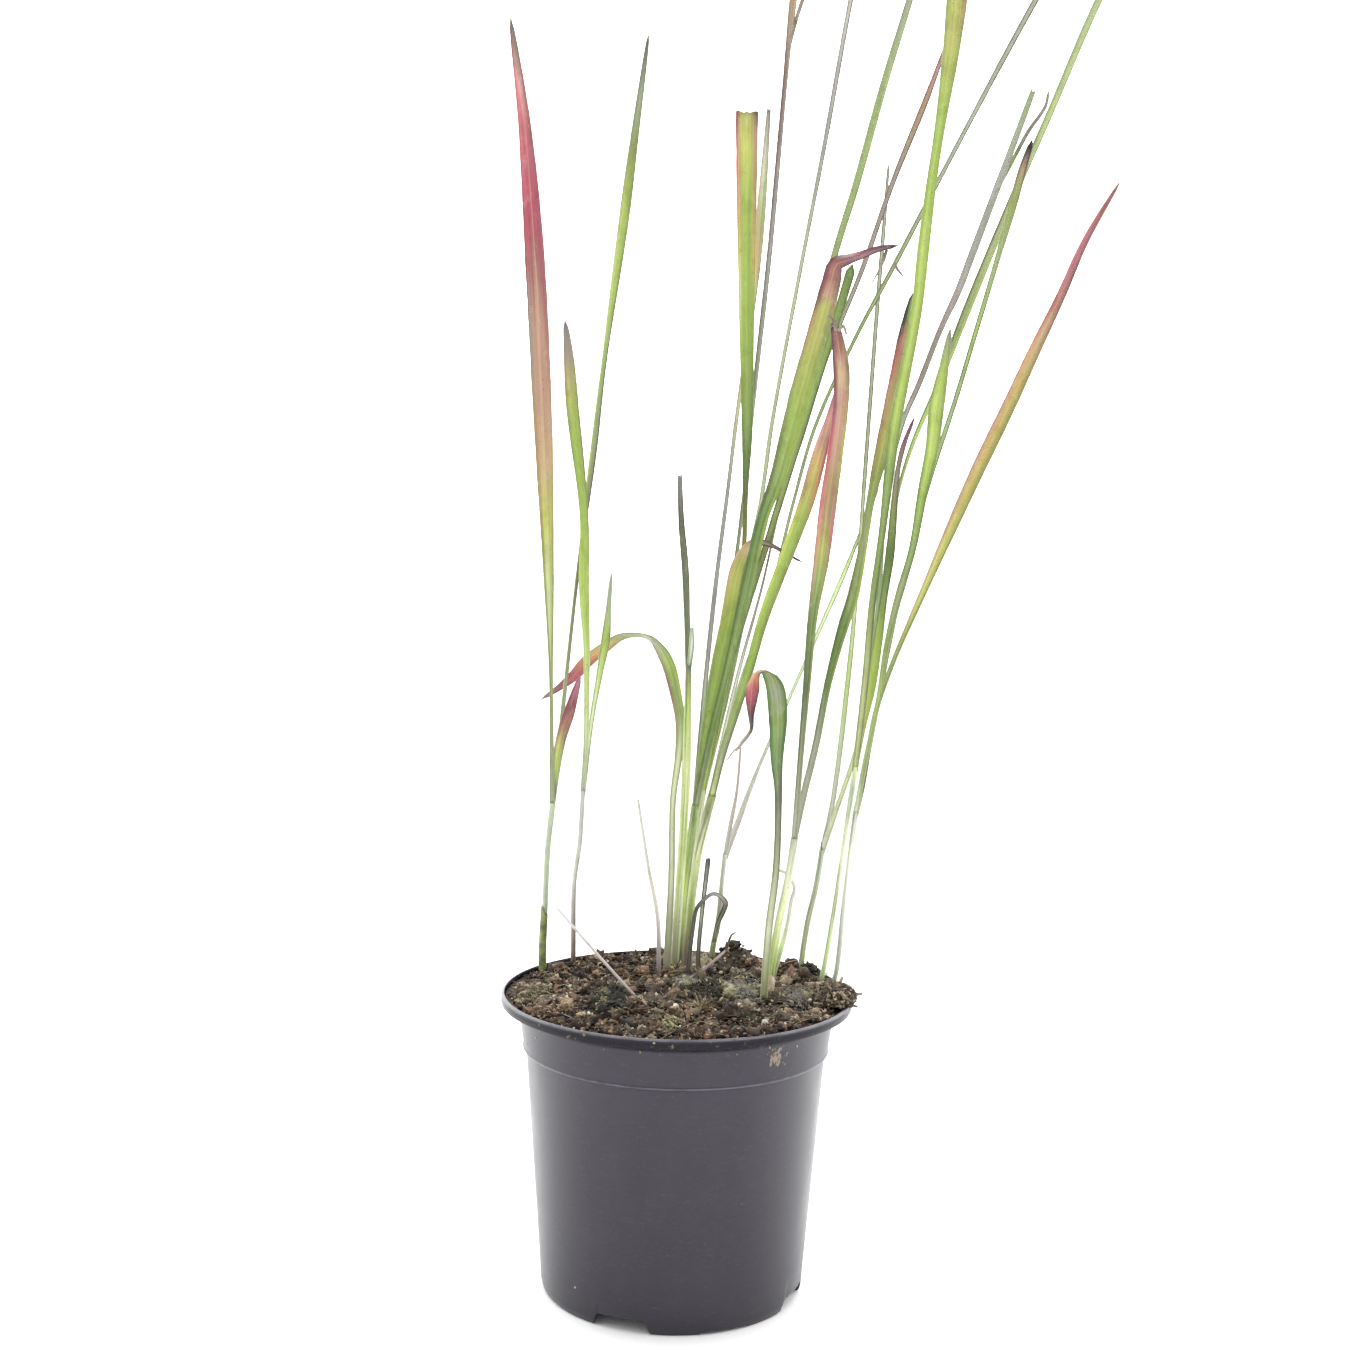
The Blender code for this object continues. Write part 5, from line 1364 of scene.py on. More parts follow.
def pot_profile():
    outside = [
        (LIP_RADIUS - 1.1, POT_HEIGHT),
        (LIP_RADIUS - 0.5, POT_HEIGHT - 0.15),
        (LIP_RADIUS - 0.12, POT_HEIGHT - 0.5),
        (LIP_RADIUS, POT_HEIGHT - 1.0),
        (LIP_RADIUS, BAND_FOOT),
        (LIP_RADIUS - 0.2, BAND_FOOT - 0.5),
        (LIP_RADIUS - 0.8, BAND_FOOT - 0.7),
        (COLLAR_TOP_RADIUS + 0.6, COLLAR_TOP + 0.7),
        (COLLAR_TOP_RADIUS + 0.1, COLLAR_TOP + 0.45),
        (COLLAR_TOP_RADIUS, COLLAR_TOP),
        (COLLAR_FOOT_RADIUS + 0.12, COLLAR_FOOT + 0.75),
        (COLLAR_FOOT_RADIUS + 0.40, COLLAR_FOOT + 0.45),
        (COLLAR_FOOT_RADIUS + 0.45, COLLAR_FOOT + 0.1),
        (COLLAR_FOOT_RADIUS + 0.25, COLLAR_FOOT - 0.25),
        (COLLAR_FOOT_RADIUS - 0.25, COLLAR_FOOT - 0.5),
        (BODY_TOP_RADIUS, COLLAR_FOOT - 0.8),
        (body_radius(PLAIN_FROM), PLAIN_FROM),
        (BODY_FOOT_RADIUS, BODY_FOOT),
        (BODY_FOOT_RADIUS - 0.5, BODY_FOOT - 2.3),
        (FOOT_RADIUS, 0),
    ]
    underside = [
        (FOOT_RADIUS - WALL + 0.2, 0),
        (FOOT_RADIUS - 0.4, CHANNEL_ROOF),
        (PAD_RADIUS + 1.4, CHANNEL_ROOF),
        (PAD_RADIUS, 0),
        (0, 0),
    ]
    inside = [
        (0, FLOOR_THICKNESS),
        (PAD_RADIUS - 0.8, FLOOR_THICKNESS),
        (PAD_RADIUS + 0.6, FLOOR_LEVEL),
        (body_radius(FLOOR_LEVEL) - WALL, FLOOR_LEVEL),
        (BODY_TOP_RADIUS - WALL, COLLAR_FOOT - 1.2),
        (COLLAR_FOOT_RADIUS - WALL, COLLAR_FOOT - 0.4),
        (COLLAR_TOP_RADIUS - WALL, COLLAR_TOP + 0.2),
        (COLLAR_TOP_RADIUS - 0.3, COLLAR_TOP + 1.3),
        (LIP_RADIUS - 1.7, BAND_FOOT),
        (LIP_RADIUS - WALL, BAND_FOOT + 0.6),
        (LIP_RADIUS - WALL, POT_HEIGHT - 0.4),
    ]
    return inside + outside + underside


def foot_cutter(name, angle, width, height):
    """A block across the foot ring, wider at the floor."""
    bm = bmesh.new()
    bmesh.ops.create_cube(bm, size=1.0)
    bmesh.ops.scale(bm, verts=bm.verts, vec=(width, NOTCH_DEPTH, height + 1))
    low = [vert for vert in bm.verts if vert.co.z < 0]
    widen = 1 + 2 * NOTCH_SPLAY / width
    bmesh.ops.scale(bm, verts=low, vec=(widen, 1, 1))
    upper = [edge for edge in bm.edges if abs(edge.verts[0].co.z - edge.verts[1].co.z) < 1e-6
             and edge.verts[0].co.z > 0 and abs(edge.verts[0].co.x - edge.verts[1].co.x) < 1e-6]
    bmesh.ops.bevel(bm, geom=upper, offset=min(NOTCH_CORNER, height * 0.6), segments=4, profile=0.5,
                    affect="EDGES", material=-1)
    middle = FOOT_RADIUS - 0.5
    bmesh.ops.translate(bm, verts=bm.verts, vec=(0, -middle, (height - 1) / 2))
    turn = Matrix.Rotation(math.radians(angle), 3, "Z")
    bmesh.ops.rotate(bm, verts=bm.verts, cent=(0, 0, 0), matrix=turn)
    return add_object(name, finish_mesh(bm, name, MM))


def drain_cutter(name, angle):
    bm = bmesh.new()
    bmesh.ops.create_cone(bm, cap_ends=True, segments=32, radius1=DRAIN_RADIUS,
                          radius2=DRAIN_RADIUS, depth=6)
    turn = math.radians(angle)
    place = (DRAIN_CIRCLE * math.sin(turn), -DRAIN_CIRCLE * math.cos(turn), CHANNEL_ROOF)
    bmesh.ops.translate(bm, verts=bm.verts, vec=place)
    return add_object(name, finish_mesh(bm, name, MM))


def make_pot():
    bm = spin_profile(pot_profile(), POT_STEPS)
    pot = add_piece("pot_shell", bm, pot_material(), ("pot",), POT_SHARP_ANGLE)
    cutters = []
    pitch = 360 / NOTCH_COUNT
    for index in range(NOTCH_COUNT):
        angle = NOTCH_TURN + index * pitch
        middle = angle + pitch / 2
        cutters.append(foot_cutter(f"notch_{index}", angle, NOTCH_WIDTH, NOTCH_HEIGHT))
        cutters.append(foot_cutter(f"recess_{index}", middle, RECESS_WIDTH, RECESS_HEIGHT))
        cutters.append(drain_cutter(f"drain_{index}", middle))
    for cutter in cutters:
        boolean = pot.modifiers.new(cutter.name, "BOOLEAN")
        boolean.operation = "DIFFERENCE"
        boolean.object = cutter
    rounding = pot.modifiers.new("rounding", "BEVEL")
    rounding.width = POT_ROUNDING * MM
    rounding.segments = 2
    rounding.limit_method = "ANGLE"
    rounding.angle_limit = math.radians(POT_ROUNDED_ANGLE)
    bake(pot)
    pot.data.set_sharp_from_angle(angle=math.radians(POT_SHARP_ANGLE))
    for cutter in cutters:
        bpy.data.objects.remove(cutter, do_unlink=True)


def pot_material():
    """Dark grey-violet plastic: fine mould grain, dust, scuffs, dried soil splashes by the lip, painted
    shade under the lip, and painted highlights on its top edge and on the collar's bead.
    """
    nodes = new_material("pot_plastic")
    place = nodes.object_place()
    height = nodes.parts(place)[2]
    dust = nodes.noise(nodes.scaled(place, (1, 1, 0.6)), 60.0, 6.0, 0.62)
    fine = nodes.noise(place, 1900.0, 3.0, 0.6)
    base = nodes.mix(nodes.between(dust, 0.35, 0.70), *POT_COLOURS)
    base = nodes.mix(nodes.between(fine, 0.62, 0.82, 0.0, 0.25), base, POT_GRAIN_COLOUR)
    # Painted shade: the lip's lower edge and the fold under it are painted darker, and reflect less.
    painted_shade = nodes.band(height, *PAINTED_SHADE_HEIGHTS)
    base = nodes.mix(nodes.times(painted_shade, 0.8), base, PAINTED_SHADE_COLOUR)
    # Painted highlights: thin pale lines along the lip's top edge and along the bead at the collar's foot,
    # broken up by noise.
    highlight_breakup = nodes.noise(nodes.scaled(place, (1, 1, 0.2)), 130.0, 3.0, 0.6)
    for low, high in PAINTED_HIGHLIGHT_BANDS:
        middle = (low + high) / 2 * MM
        band = nodes.band(height, low * MM, middle, middle, high * MM)
        band = nodes.times(band, nodes.between(highlight_breakup, 0.3, 0.6, 0.45, 1.0))
        base = nodes.mix(band, base, PAINTED_HIGHLIGHT_COLOUR)
    # Dried soil below the lip, and one larger smear at the front.
    splash = nodes.noise(place, 420.0, 5.0, 0.65)
    soiled = nodes.times(nodes.between(splash, 0.60, 0.72), nodes.between(height, *SOILED_HEIGHTS))
    smear_place = [value * MM for value in SMEAR_PLACE]
    away = nodes.add("ShaderNodeVectorMath", {0: place, 1: smear_place}, "Value", operation="DISTANCE")
    near = nodes.between(away, SMEAR_REACH * 0.2 * MM, SMEAR_REACH * MM, 1.0, 0.0)
    fleck = nodes.noise(nodes.scaled(place, (1, 1, 0.6)), 760.0, 4.0, 0.6)
    smear = nodes.between(nodes.plus(fleck, nodes.times(near, 0.20)), 0.62, 0.70)
    smear = nodes.times(smear, nodes.math("GREATER_THAN", near, 0.02))
    soiled = nodes.math("MAXIMUM", nodes.times(soiled, 0.45), nodes.times(smear, 0.8))
    base = nodes.mix(nodes.times(soiled, 0.85), base, DRIED_SOIL_COLOUR)
    # Fine scratches round the body.
    scratch = nodes.noise(nodes.scaled(place, (1, 1, 5)), 90.0, 2.0, 0.5, 1.5)
    scratched = nodes.band(scratch, 0.495, 0.503, 0.503, 0.511)
    base = nodes.mix(nodes.times(scratched, 0.10), base, SCRATCH_COLOUR)
    rough = nodes.between(dust, 0.30, 0.70, POT_GLOSS, POT_GLOSS + 0.08)
    relief = nodes.plus(nodes.times(fine, 0.5), nodes.times(soiled, 3.0))
    return nodes.finish({
        "Base Color": base,
        "Roughness": nodes.plus(rough, nodes.times(soiled, 0.4)),
        "Normal": nodes.bump(relief, 0.00006, 0.7),
        "Specular IOR Level": nodes.math("SUBTRACT", POT_SHEEN, nodes.times(painted_shade, 0.3)),
        "Specular Tint": POT_SHEEN_TINT,
    })


# Potting mix
def soil_height(x, y):
    """Height of the potting mix above the pot's underside."""
    bump = noise.noise(Vector((x / BUMP_SIZE, y / BUMP_SIZE, 0.5)))
    height = SOIL_LEVEL + BUMP_HEIGHT * bump
    for mound_x, mound_y, radius, rise in SOIL_MOUNDS:
        distance = math.hypot(x - mound_x, y - mound_y) / radius
        height += rise * math.exp(-distance * distance)
    edge = max(0.0, math.hypot(x, y) - SOIL_FLAT_FROM) / (SOIL_EDGE_RADIUS - SOIL_FLAT_FROM)
    return height + min(edge, 1.0) * (SOIL_LEVEL - height)


def soil_profile():
    surface = [(SOIL_EDGE_RADIUS * ring / SOIL_RINGS, SOIL_LEVEL) for ring in range(SOIL_RINGS + 1)]
    inner = WALL + SOIL_CLEARANCE
    side = [
        (SOIL_EDGE_RADIUS, BAND_FOOT + 0.9),
        (LIP_RADIUS - 1.95, BAND_FOOT + 0.5),
        (COLLAR_TOP_RADIUS - 0.7, COLLAR_TOP + 1.75),
        (COLLAR_TOP_RADIUS - inner, COLLAR_TOP + 0.3),
        (COLLAR_FOOT_RADIUS - inner, COLLAR_FOOT - 0.2),
        (BODY_TOP_RADIUS - inner, COLLAR_FOOT - 1.0),
        (body_radius(FLOOR_LEVEL) - inner, FLOOR_LEVEL + FLOOR_GAP),
        (PAD_RADIUS + 0.4, FLOOR_LEVEL + FLOOR_GAP),
        (PAD_RADIUS - 1.0, FLOOR_THICKNESS + FLOOR_GAP),
        (0, FLOOR_THICKNESS + FLOOR_GAP),
    ]
    return surface + side


def make_soil():
    bm = spin_profile(soil_profile(), SOIL_STEPS)
    for vert in bm.verts:
        if abs(vert.co.z - SOIL_LEVEL) < 0.01:
            x, y = vert.co.x, vert.co.y
            fine = noise.noise(Vector((x / 2.2, y / 2.2, 3.1)))
            grit = noise.noise(Vector((x / 0.9, y / 0.9, 7.7)))
            vert.co.z = soil_height(x, y) + 0.7 * fine + 0.4 * grit - 0.6
    add_piece("potting_mix", bm, crumb_material("potting_mix"), ("soil",))


def tone_stops(tones):
    """Four tones from dark to pale, as the stops of a ramp."""
    return [(place, linear(tone)) for place, tone in zip(TONE_PLACES, tones)]


def crumb_material(name):
    """Damp crumbs: the map gives each one its tone and its kind, with fine grain over both."""
    nodes = new_material(name)
    tone, kind, _ = nodes.parts(nodes.map_place())
    place = nodes.object_place()
    grain = nodes.noise(place, 900.0, 4.0, 0.65)
    if name == "potting_mix":
        patch = nodes.noise(place, 120.0, 3.0, 0.5)
        tone = nodes.math("SUBTRACT", nodes.times(patch, 0.5), 0.12)
        kind = nodes.times(patch, 0.6)
    tone = nodes.plus(tone, nodes.times(nodes.math("SUBTRACT", grain, 0.5), 0.6))
    if name in OWN_TONES:
        colour = nodes.ramp(tone, tone_stops(OWN_TONES[name]))
    else:
        colour = nodes.ramp(tone, tone_stops(CRUMB_TONES[0]))
        for index, tones in enumerate(CRUMB_TONES[1:]):
            share = nodes.between(kind, index / 3 + 0.08, index / 3 + 0.25)
            colour = nodes.mix(share, colour, nodes.ramp(tone, tone_stops(tones)))
    return nodes.finish({
        "Base Color": nodes.mix(nodes.between(grain, 0.58, 0.72, 0.0, 0.6), colour, linear(GRIT_COLOUR)),
        "Roughness": nodes.between(grain, 0.3, 0.7, 0.6, 0.95),
        "Normal": nodes.bump(grain, 0.0005),
        "Specular IOR Level": 0.3,
    })


# Shapes of the small pieces on the potting mix
def grain_mesh(seed, rough, subdivisions=1):
    """A knobbly crumb one millimetre across."""
    bm = new_mesh()
    bmesh.ops.create_icosphere(bm, subdivisions=subdivisions, radius=0.5)
    for vert in bm.verts:
        vert.co *= 1 + rough * noise.noise(vert.co * 3.1 + Vector((seed * 3.7, seed, 0)))
    bmesh.ops.recalc_face_normals(bm, faces=bm.faces)
    return finish_mesh(bm, f"grain_{seed}")


def chip_mesh(seed):
    """A splinter of bark: a bent, tapered slab with uneven ends."""
    bm = new_mesh()
    bmesh.ops.create_cube(bm, size=1.0)
    bmesh.ops.scale(bm, verts=bm.verts, vec=(1.0, 0.42, 0.2))
    bmesh.ops.subdivide_edges(bm, edges=bm.edges, cuts=1, use_grid_fill=True)
    for vert in bm.verts:
        vert.co += 0.16 * noise.noise_vector(vert.co * 2.4 + Vector((seed * 2.9, seed, 0)))
        vert.co.z += 0.16 * vert.co.x * vert.co.x
    bmesh.ops.recalc_face_normals(bm, faces=bm.faces)
    return finish_mesh(bm, f"chip_{seed}")


def fibre_mesh(seed, thickness, curl):
    """A thin bent fibre one millimetre long, lying along x."""
    bm = new_mesh()
    sides, steps = 3, 8
    rows = grid_between(bm, sides, steps)
    for index, row in enumerate(rows):
        t = index / steps
        bend = curl * math.sin(math.pi * t + seed) + 0.3 * curl * math.sin(7 * t + 2 * seed)
        lift = 0.5 * curl * math.sin(math.pi * t)
        radius = thickness * (1 - 0.5 * abs(2 * t - 1) ** 3)
        for column, vert in enumerate(row):
            angle = 2 * math.pi * (column % sides) / sides
            vert.co = Vector((t - 0.5, bend + radius * math.cos(angle), lift + radius * math.sin(angle)))
    close_tube(bm, rows, 1e-6)
    return finish_mesh(bm, f"fibre_{seed}")


def grains(count, first, *shape):
    return [grain_mesh(first + seed, *shape) for seed in range(count)]


def chips(count, first):
    return [chip_mesh(first + seed) for seed in range(count)]


def fibres(count, first, *shape):
    return [fibre_mesh(first + seed, *shape) for seed in range(count)]


# Places of the small pieces on the potting mix
def spin_tilt(angle, tilt):
    """A turn about the upright after a tilt that raises the piece's far end."""
    return Matrix.Rotation(angle, 3, "Z") @ Matrix.Rotation(-tilt, 3, "Y")


def random_way(flatness=1.0, upward=True):
    """A random direction, in the upper half unless it may point down."""
    x, y, z = random.gauss(0, 1), random.gauss(0, 1), random.gauss(0, flatness)
    return Vector((x, y, abs(z) if upward else z)).normalized()


def random_turn():
    spin = random.uniform(0, 2 * math.pi)
    return Matrix.Rotation(spin, 3, random_way(upward=False)).to_quaternion()


def flat_turn(tilt):
    """A turn about the upright, with a little tilt."""
    spin = Matrix.Rotation(random.uniform(0, 2 * math.pi), 3, "Z")
    lean = Matrix.Rotation(math.radians(random.gauss(0, tilt)), 3, "X")
    nod = Matrix.Rotation(math.radians(random.gauss(0, tilt)), 3, "Y")
    return (spin @ lean @ nod).to_quaternion()


def random_spot(limit=SPREAD_LIMIT):
    radius = limit * math.sqrt(random.random())
    angle = random.uniform(0, 2 * math.pi)
    return radius * math.cos(angle), radius * math.sin(angle)


def patch_spots(patches):
    """Places in patches, closest in the middle: x, y, share of the way out, and the patch's tone."""
    for centre_x, centre_y, reach_x, reach_y, amount, tone in patches:
        for _ in range(amount):
            x, y = 1.0, 1.0
            while x * x + y * y >= 1:
                x, y = random.gauss(0, 0.45), random.gauss(0, 0.45)
            x, y = centre_x + reach_x * x, centre_y + reach_y * y
            yield x, y, math.hypot((x - centre_x) / reach_x, (y - centre_y) / reach_y), tone


def on_soil(x, y, lift=0.0):
    return Vector((x, y, soil_height(x, y) + lift))


def away_squared(x, y, patch):
    """Square of the distance from a patch's middle, as a share of its reach."""
    middle_x, middle_y, reach_x, reach_y, *_ = patch
    return ((x - middle_x) / reach_x) ** 2 + ((y - middle_y) / reach_y) ** 2


def tone_at(x, y):
    """How light the potting mix is at a place."""
    tone = 0.42 + 0.40 * noise.noise(Vector((x / 4.5, y / 9, 1.7)))
    for patch in MIX_PATCHES:
        tone += patch[-1] * math.exp(-away_squared(x, y, patch))
    return tone


def kind_at(x, y):
    """Which kind of crumb lies at a place: 0 red-brown, 1/3 brown-grey, 2/3 olive, 1 grey mould."""
    kind = 0.2 + 0.3 * noise.noise(Vector((x / 7, y / 11, 5.2)))
    weight = 1.0
    for patch in MIX_PATCHES:
        share = 3 * math.exp(-2 * away_squared(x, y, patch))
        kind += share * patch[-2]
        weight += share
    return min(max(kind / weight + random.gauss(0, 0.08), 0.0), 1.0)


def scatter(bm, shapes, spots, kind=None):
    """Adds one shape at each spot: place, turn, size and tone. The kind is the mix's own there."""
    for place, turn, size, tone in spots:
        shape = random.choice(shapes).copy()
        shape.transform(Matrix.LocRotScale(place, turn, Vector(size)))
        layer = shape.uv_layers[0].data
        own_kind = kind_at(place.x, place.y) if kind is None else kind
        layer.foreach_set("uv", [tone, own_kind] * len(layer))
        bm.from_mesh(shape)
        bpy.data.meshes.remove(shape)


def add_scattered(name, shapes, spots, smooth_angle=180, kind=None):
    bm = new_mesh()
    scatter(bm, shapes, spots, kind)
    add_piece(name, bm, crumb_material(name), smooth_angle=smooth_angle)


# Small pieces on the pot and on the potting mix
def make_splashes():
    """Small dried splashes that stick to the lip and the collar."""
    shapes = grains(4, 80, 0.6)
    spots = []
    for angle, height, size in SPLASHES:
        turn = math.radians(angle)
        radius = wall_radius(height)
        place = Vector((radius * math.sin(turn), -radius * math.cos(turn), height))
        flat = Matrix.Rotation(turn, 3, "Z") @ Matrix.Rotation(random.uniform(0, 3), 3, "Y")
        spots.append((place, flat.to_quaternion(), (size * 1.3, 0.35, size), random.uniform(0.5, 0.9)))
    add_scattered("dried_splashes", shapes, spots, kind=NEUTRAL_KIND)


def make_crumbs():
    """Fine crumbs of peat."""
    shapes = grains(6, 0, 0.75)
    spots = []
    for _ in range(CRUMB_COUNT):
        x, y = random_spot()
        size = random.choice(CRUMB_SIZES)
        tone = tone_at(x, y) + random.gauss(-0.08, 0.32)
        spots.append((on_soil(x, y, random.uniform(-0.3, 0.5) * size), random_turn(),
                      (size, size * random.uniform(0.6, 1.0), size * random.uniform(0.5, 0.9)), tone))
    add_scattered("soil_crumbs", shapes, spots)


def make_lumps():
    """Lumps of peat two to eight millimetres across, with small crumbs stuck to them."""
    shapes = grains(7, 10, 1.15, 2)
    crumbs = grains(4, 0, 0.75)
    bm = new_mesh()
    lumps, stuck = [], []
    for _ in range(LUMP_COUNT):
        x, y = random_spot(SPREAD_LIMIT - 1)
        size = random.triangular(*LUMP_SIZES)
        if math.hypot(x, y) + size / 2 > SOIL_REACH:
            size = 2.0
        tone = tone_at(x, y) + random.gauss(-0.14, 0.20)
        place = on_soil(x, y, 0.05 * size)
        lumps.append((place, random_turn(),
                      (size, size * random.uniform(0.6, 0.9), size * random.uniform(0.5, 0.8)), tone))
        for _ in range(int(STUCK_SHARE * size)):
            grain = random.uniform(0.5, 1.3)
            stuck.append((place + random_way() * 0.36 * size, random_turn(),
                          (grain * 1.5, grain * 0.6, grain * 0.5), tone + random.gauss(0.16, 0.30)))
    scatter(bm, shapes, lumps)
    scatter(bm, crumbs, stuck)
    add_piece("soil_lumps", bm, crumb_material("soil_lumps"))


def make_chips():
    shapes = chips(6, 0)
    spots = []
    for _ in range(CHIP_COUNT):
        x, y = random_spot(SPREAD_LIMIT - 1)
        length = random.uniform(*CHIP_LENGTHS)
        spots.append((on_soil(x, y, 0.8), flat_turn(22), (length, length * random.uniform(0.5, 1.0), 2.2),
                      random.gauss(0.42, 0.22)))
    add_scattered("bark_chips", shapes, spots, smooth_angle=30)


def make_fibres():
    shapes = fibres(6, 0, 0.018, 0.16)
    spots = []
    for _ in range(FIBRE_COUNT):
        x, y = random_spot(SPREAD_LIMIT - 1)
        length = random.uniform(*FIBRE_LENGTHS)
        reach = math.hypot(x, y)
        if reach + length / 2 > SOIL_REACH:
            length = 2 * (SOIL_REACH - reach) + 1.5
        spots.append((on_soil(x, y, 1.3), flat_turn(14), (length, length, min(length, 5)),
                      random.gauss(0.55, 0.30)))
    add_scattered("coir_fibres", shapes, spots)


def make_mould():
    """Grey webs of fine threads that stand in patches on the potting mix."""
    shapes = fibres(5, 0.4, 0.02, 0.3)
    spots = []
    for x, y, _, tone in patch_spots(MOULD_PATCHES):
        length = random.uniform(*MOULD_LENGTHS)
        spots.append((on_soil(x, y, random.uniform(0.4, 2.2)), random_turn(), (length, length, length),
                      tone + random.gauss(0, 0.16)))
    add_scattered("grey_mould", shapes, spots)


def make_moss():
    """Dark tufts and pale green lumps."""
    shapes = grains(4, 20, 1.0)
    spots = []
    for x, y, away, tone in patch_spots(MOSS_PATCHES):
        size = random.uniform(*MOSS_SIZES)
        lift = MOSS_HEIGHT * (1 - min(1.0, away))
        spots.append((on_soil(x, y, lift * random.random() + 0.5), random_turn(),
                      (size * 1.6, size * 0.7, size * 0.7), tone + random.gauss(0, 0.16)))
    add_scattered("moss_tufts", shapes, spots)


def make_perlite():
    shapes = grains(4, 40, 0.7, 2)
    spots = [
        (on_soil(x, y, 1.0 + 0.3 * size), random_turn(), (size, size * 0.85, size * 0.75),
         random.uniform(0.5, 0.9))
        for x, y, size in PERLITE
    ]
    add_scattered("perlite_grains", shapes, spots, smooth_angle=40)


def make_dry_tuft():
    """Star-shaped tuft of bleached rootlets."""
    shapes = fibres(4, 0.8, 0.034, 0.12)
    spots = []
    centre_x, centre_y, amount, reach = DRY_TUFT
    for index in range(amount):
        angle = 2 * math.pi * index / amount + random.uniform(-0.2, 0.2)
        rise = math.radians(random.uniform(10, 65))
        length = reach * random.uniform(0.6, 1.1)
        turn = spin_tilt(angle, rise)
        middle = turn @ Vector((length / 2, 0, 0))
        spots.append((on_soil(centre_x, centre_y, 1.2) + middle, turn.to_quaternion(),
                      (length, length, length), random.uniform(0.3, 0.9)))
    add_scattered("rootlet_tuft", shapes, spots)


def clump_place(reach, flatness=1.0):
    """A place on the clump's upper half."""
    way = random_way(flatness)
    out = Vector([share * radius for share, radius in zip(way, CLUMP_RADII)])
    return Vector(CLUMP_CENTRE) + out * reach


def make_clump():
    """The clump of coir, bark and peat that lies over the lip, with bits sticking out of it."""
    bm = new_mesh()
    bmesh.ops.create_icosphere(bm, subdivisions=5, radius=1.0)
    for vert in bm.verts:
        place = vert.co.copy()
        vert.co *= 0.88 + 0.30 * noise.noise(place * 2.3)
        vert.co *= 1 + 0.20 * noise.noise(place * 6 + Vector((3, 1, 0)))
        vert.co *= 1 + 0.08 * noise.noise(place * 16)
    bmesh.ops.scale(bm, verts=bm.verts, vec=CLUMP_RADII)
    bmesh.ops.translate(bm, verts=bm.verts, vec=CLUMP_CENTRE)
    for vert in bm.verts:
        vert.co.z = max(vert.co.z, CLUMP_REST)
    bmesh.ops.recalc_face_normals(bm, faces=bm.faces)
    layer = bm.loops.layers.uv["blade"]
    for face in bm.faces:
        for loop in face.loops:
            loop[layer].uv = CLUMP_CORE_MAP
    big, small, slabs, threads = [], [], [], []
    for _ in range(CLUMP_LUMPS):
        size = random.uniform(1.8, 4.0)
        big.append((clump_place(0.86), random_turn(), (size, size * 0.8, size * 0.6),
                    random.gauss(0.40, 0.18)))
    for _ in range(CLUMP_GRAINS):
        size = random.uniform(0.5, 1.4)
        small.append((clump_place(random.uniform(0.92, 1.06)), random_turn(), (size, size * 0.8, size * 0.6),
                      random.gauss(0.50, 0.26)))
    for _ in range(CLUMP_CHIPS):
        size = random.uniform(2.0, 4.2)
        slabs.append((clump_place(0.96), random_turn(), (size, size, size), random.gauss(0.45, 0.2)))
    for _ in range(CLUMP_THREADS):
        length = random.uniform(2.0, 4.0)
        threads.append((clump_place(1.0, 0.7), flat_turn(25), (length, length, length),
                        random.gauss(0.6, 0.2)))
    for x, y, z, length, angle, tilt in CLUMP_SPLINTERS:
        turn = spin_tilt(math.radians(angle), math.radians(tilt))
        slabs.append((Vector((x, y, z)), turn.to_quaternion(), (length, 2.4, 2.4), random.uniform(0.4, 0.8)))
    scatter(bm, grains(5, 60, 1.0, 2), big, CLUMP_KIND)
    scatter(bm, grains(4, 70, 0.8), small, CLUMP_KIND)
    scatter(bm, chips(4, 60), slabs, CLUMP_KIND)
    scatter(bm, fibres(4, 0.2, 0.022, 0.15), threads, CLUMP_KIND)
    add_piece("coir_clump", bm, crumb_material("coir_clump"), ("bark_clump",), 60)


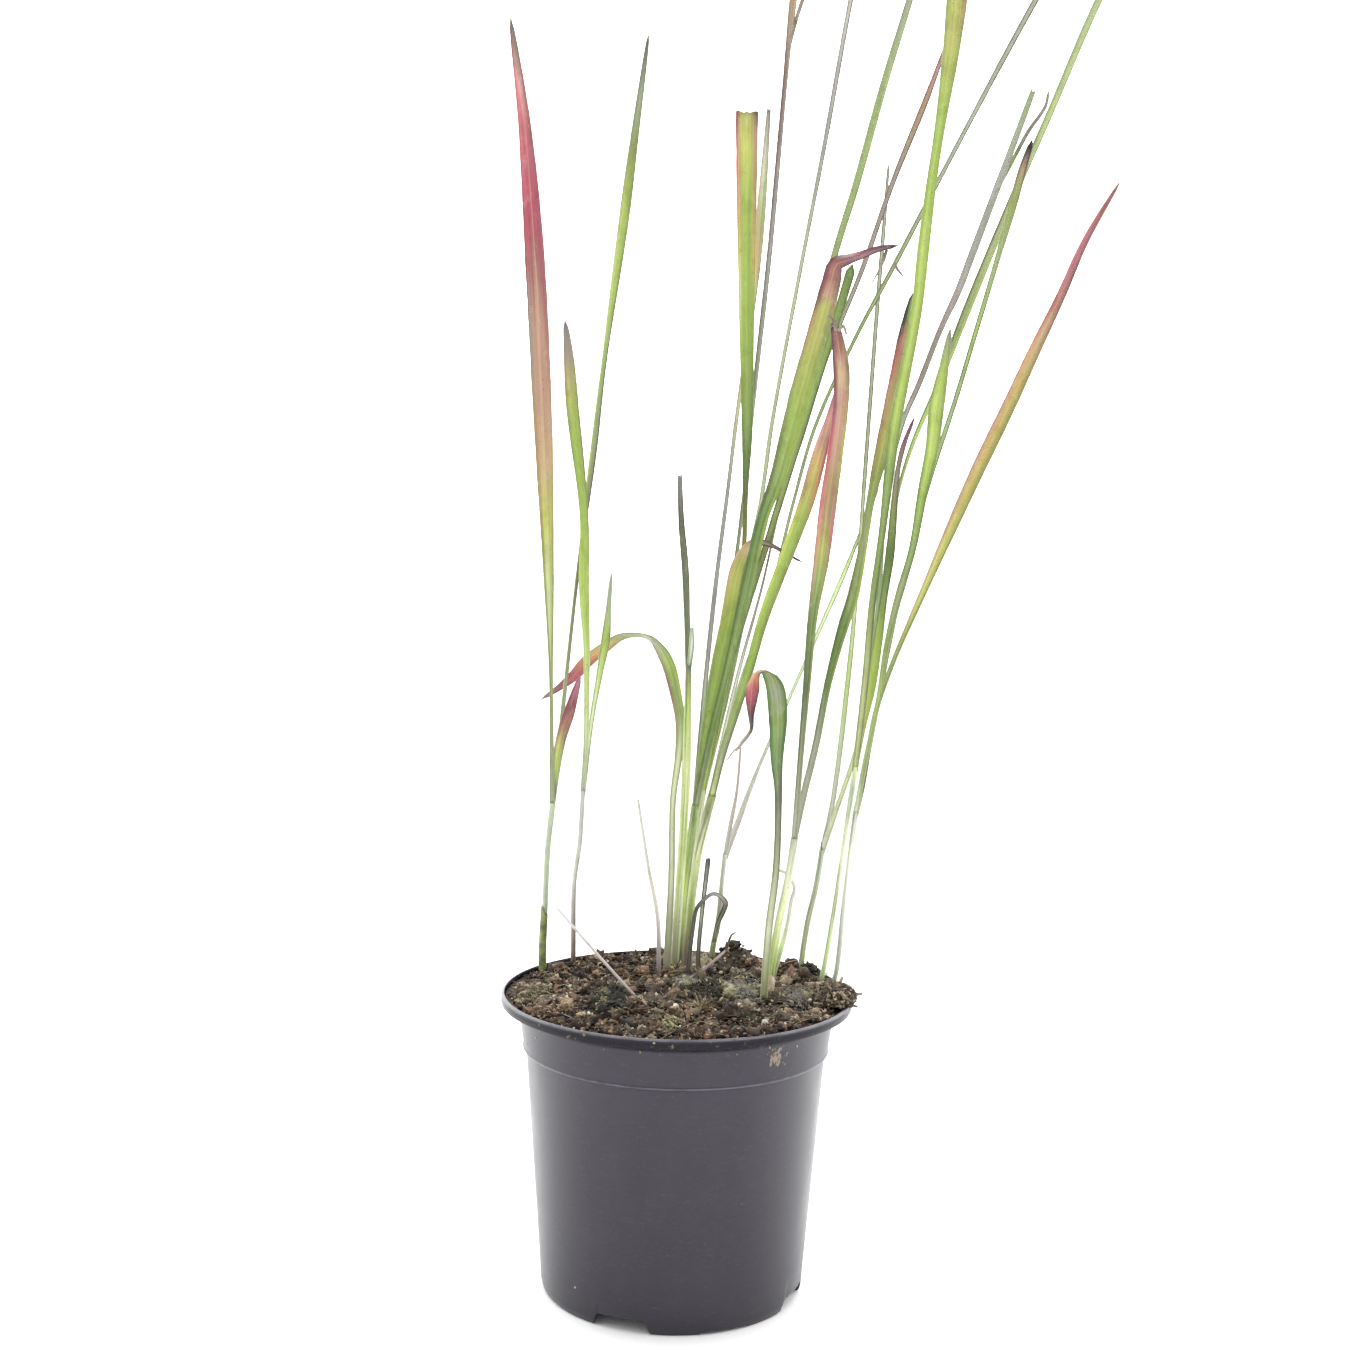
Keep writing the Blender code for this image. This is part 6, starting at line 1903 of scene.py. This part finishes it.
# Stage
def make_stage():
    bm = bmesh.new()
    bmesh.ops.create_grid(bm, x_segments=1, y_segments=1, size=STAGE_SIZE)
    mesh = finish_mesh(bm, "floor")
    nodes = new_material("floor")
    tone = nodes.noise(nodes.object_place(), 3.0, 2.0, 0.5)
    colour = nodes.mix(tone, *STAGE_COLOURS)
    mesh.materials.append(nodes.finish({"Base Color": colour, "Roughness": 0.8}))
    floor = add_object("floor", mesh)


def make_light():
    """A white studio all round, brighter behind the plant than before it."""
    world = bpy.data.worlds.new("studio")
    bpy.context.scene.world = world
    nodes = Nodes(world)
    forward = nodes.parts(nodes.add("ShaderNodeTexCoord", {}, "Generated"))[1]
    bright = nodes.between(forward, -0.6, 0.5, LIGHT_BEFORE, LIGHT_BEHIND, "LINEAR")
    background = nodes.tree.nodes["Background"]
    nodes.feed(background.inputs["Color"], (1.0, 1.0, 1.0, 1.0))
    nodes.feed(background.inputs["Strength"], bright)


def make_camera():
    camera = bpy.data.cameras.new("camera")
    camera.lens = CAMERA_LENS
    camera.sensor_width = CAMERA_SENSOR
    camera.clip_start = 0.01
    camera.clip_end = 20
    piece = add_object("camera", camera)
    pitch = math.radians(CAMERA_PITCH)
    roll = math.radians(CAMERA_ROLL)
    ahead = Vector((0, math.cos(pitch), math.sin(pitch)))
    right = Vector((1, 0, 0))
    up = right.cross(ahead)
    turned_right = right * math.cos(roll) + up * math.sin(roll)
    turned_up = up * math.cos(roll) - right * math.sin(roll)
    turn = Matrix((turned_right, turned_up, -ahead)).transposed()
    piece.matrix_world = Matrix.LocRotScale(Vector(CAMERA_PLACE), turn.to_quaternion(), Vector((1, 1, 1)))
    bpy.context.scene.camera = piece


def main():
    make_camera()
    make_stage()
    make_light()
    bpy.context.scene.view_settings.view_transform = "Standard"
    make_pot()
    make_splashes()
    make_soil()
    make_crumbs()
    make_lumps()
    make_chips()
    make_fibres()
    make_mould()
    make_moss()
    make_perlite()
    make_dry_tuft()
    make_clump()
    make_grass()
    for shape in list(bpy.data.meshes):
        if shape.users == 0:
            bpy.data.meshes.remove(shape)


main()
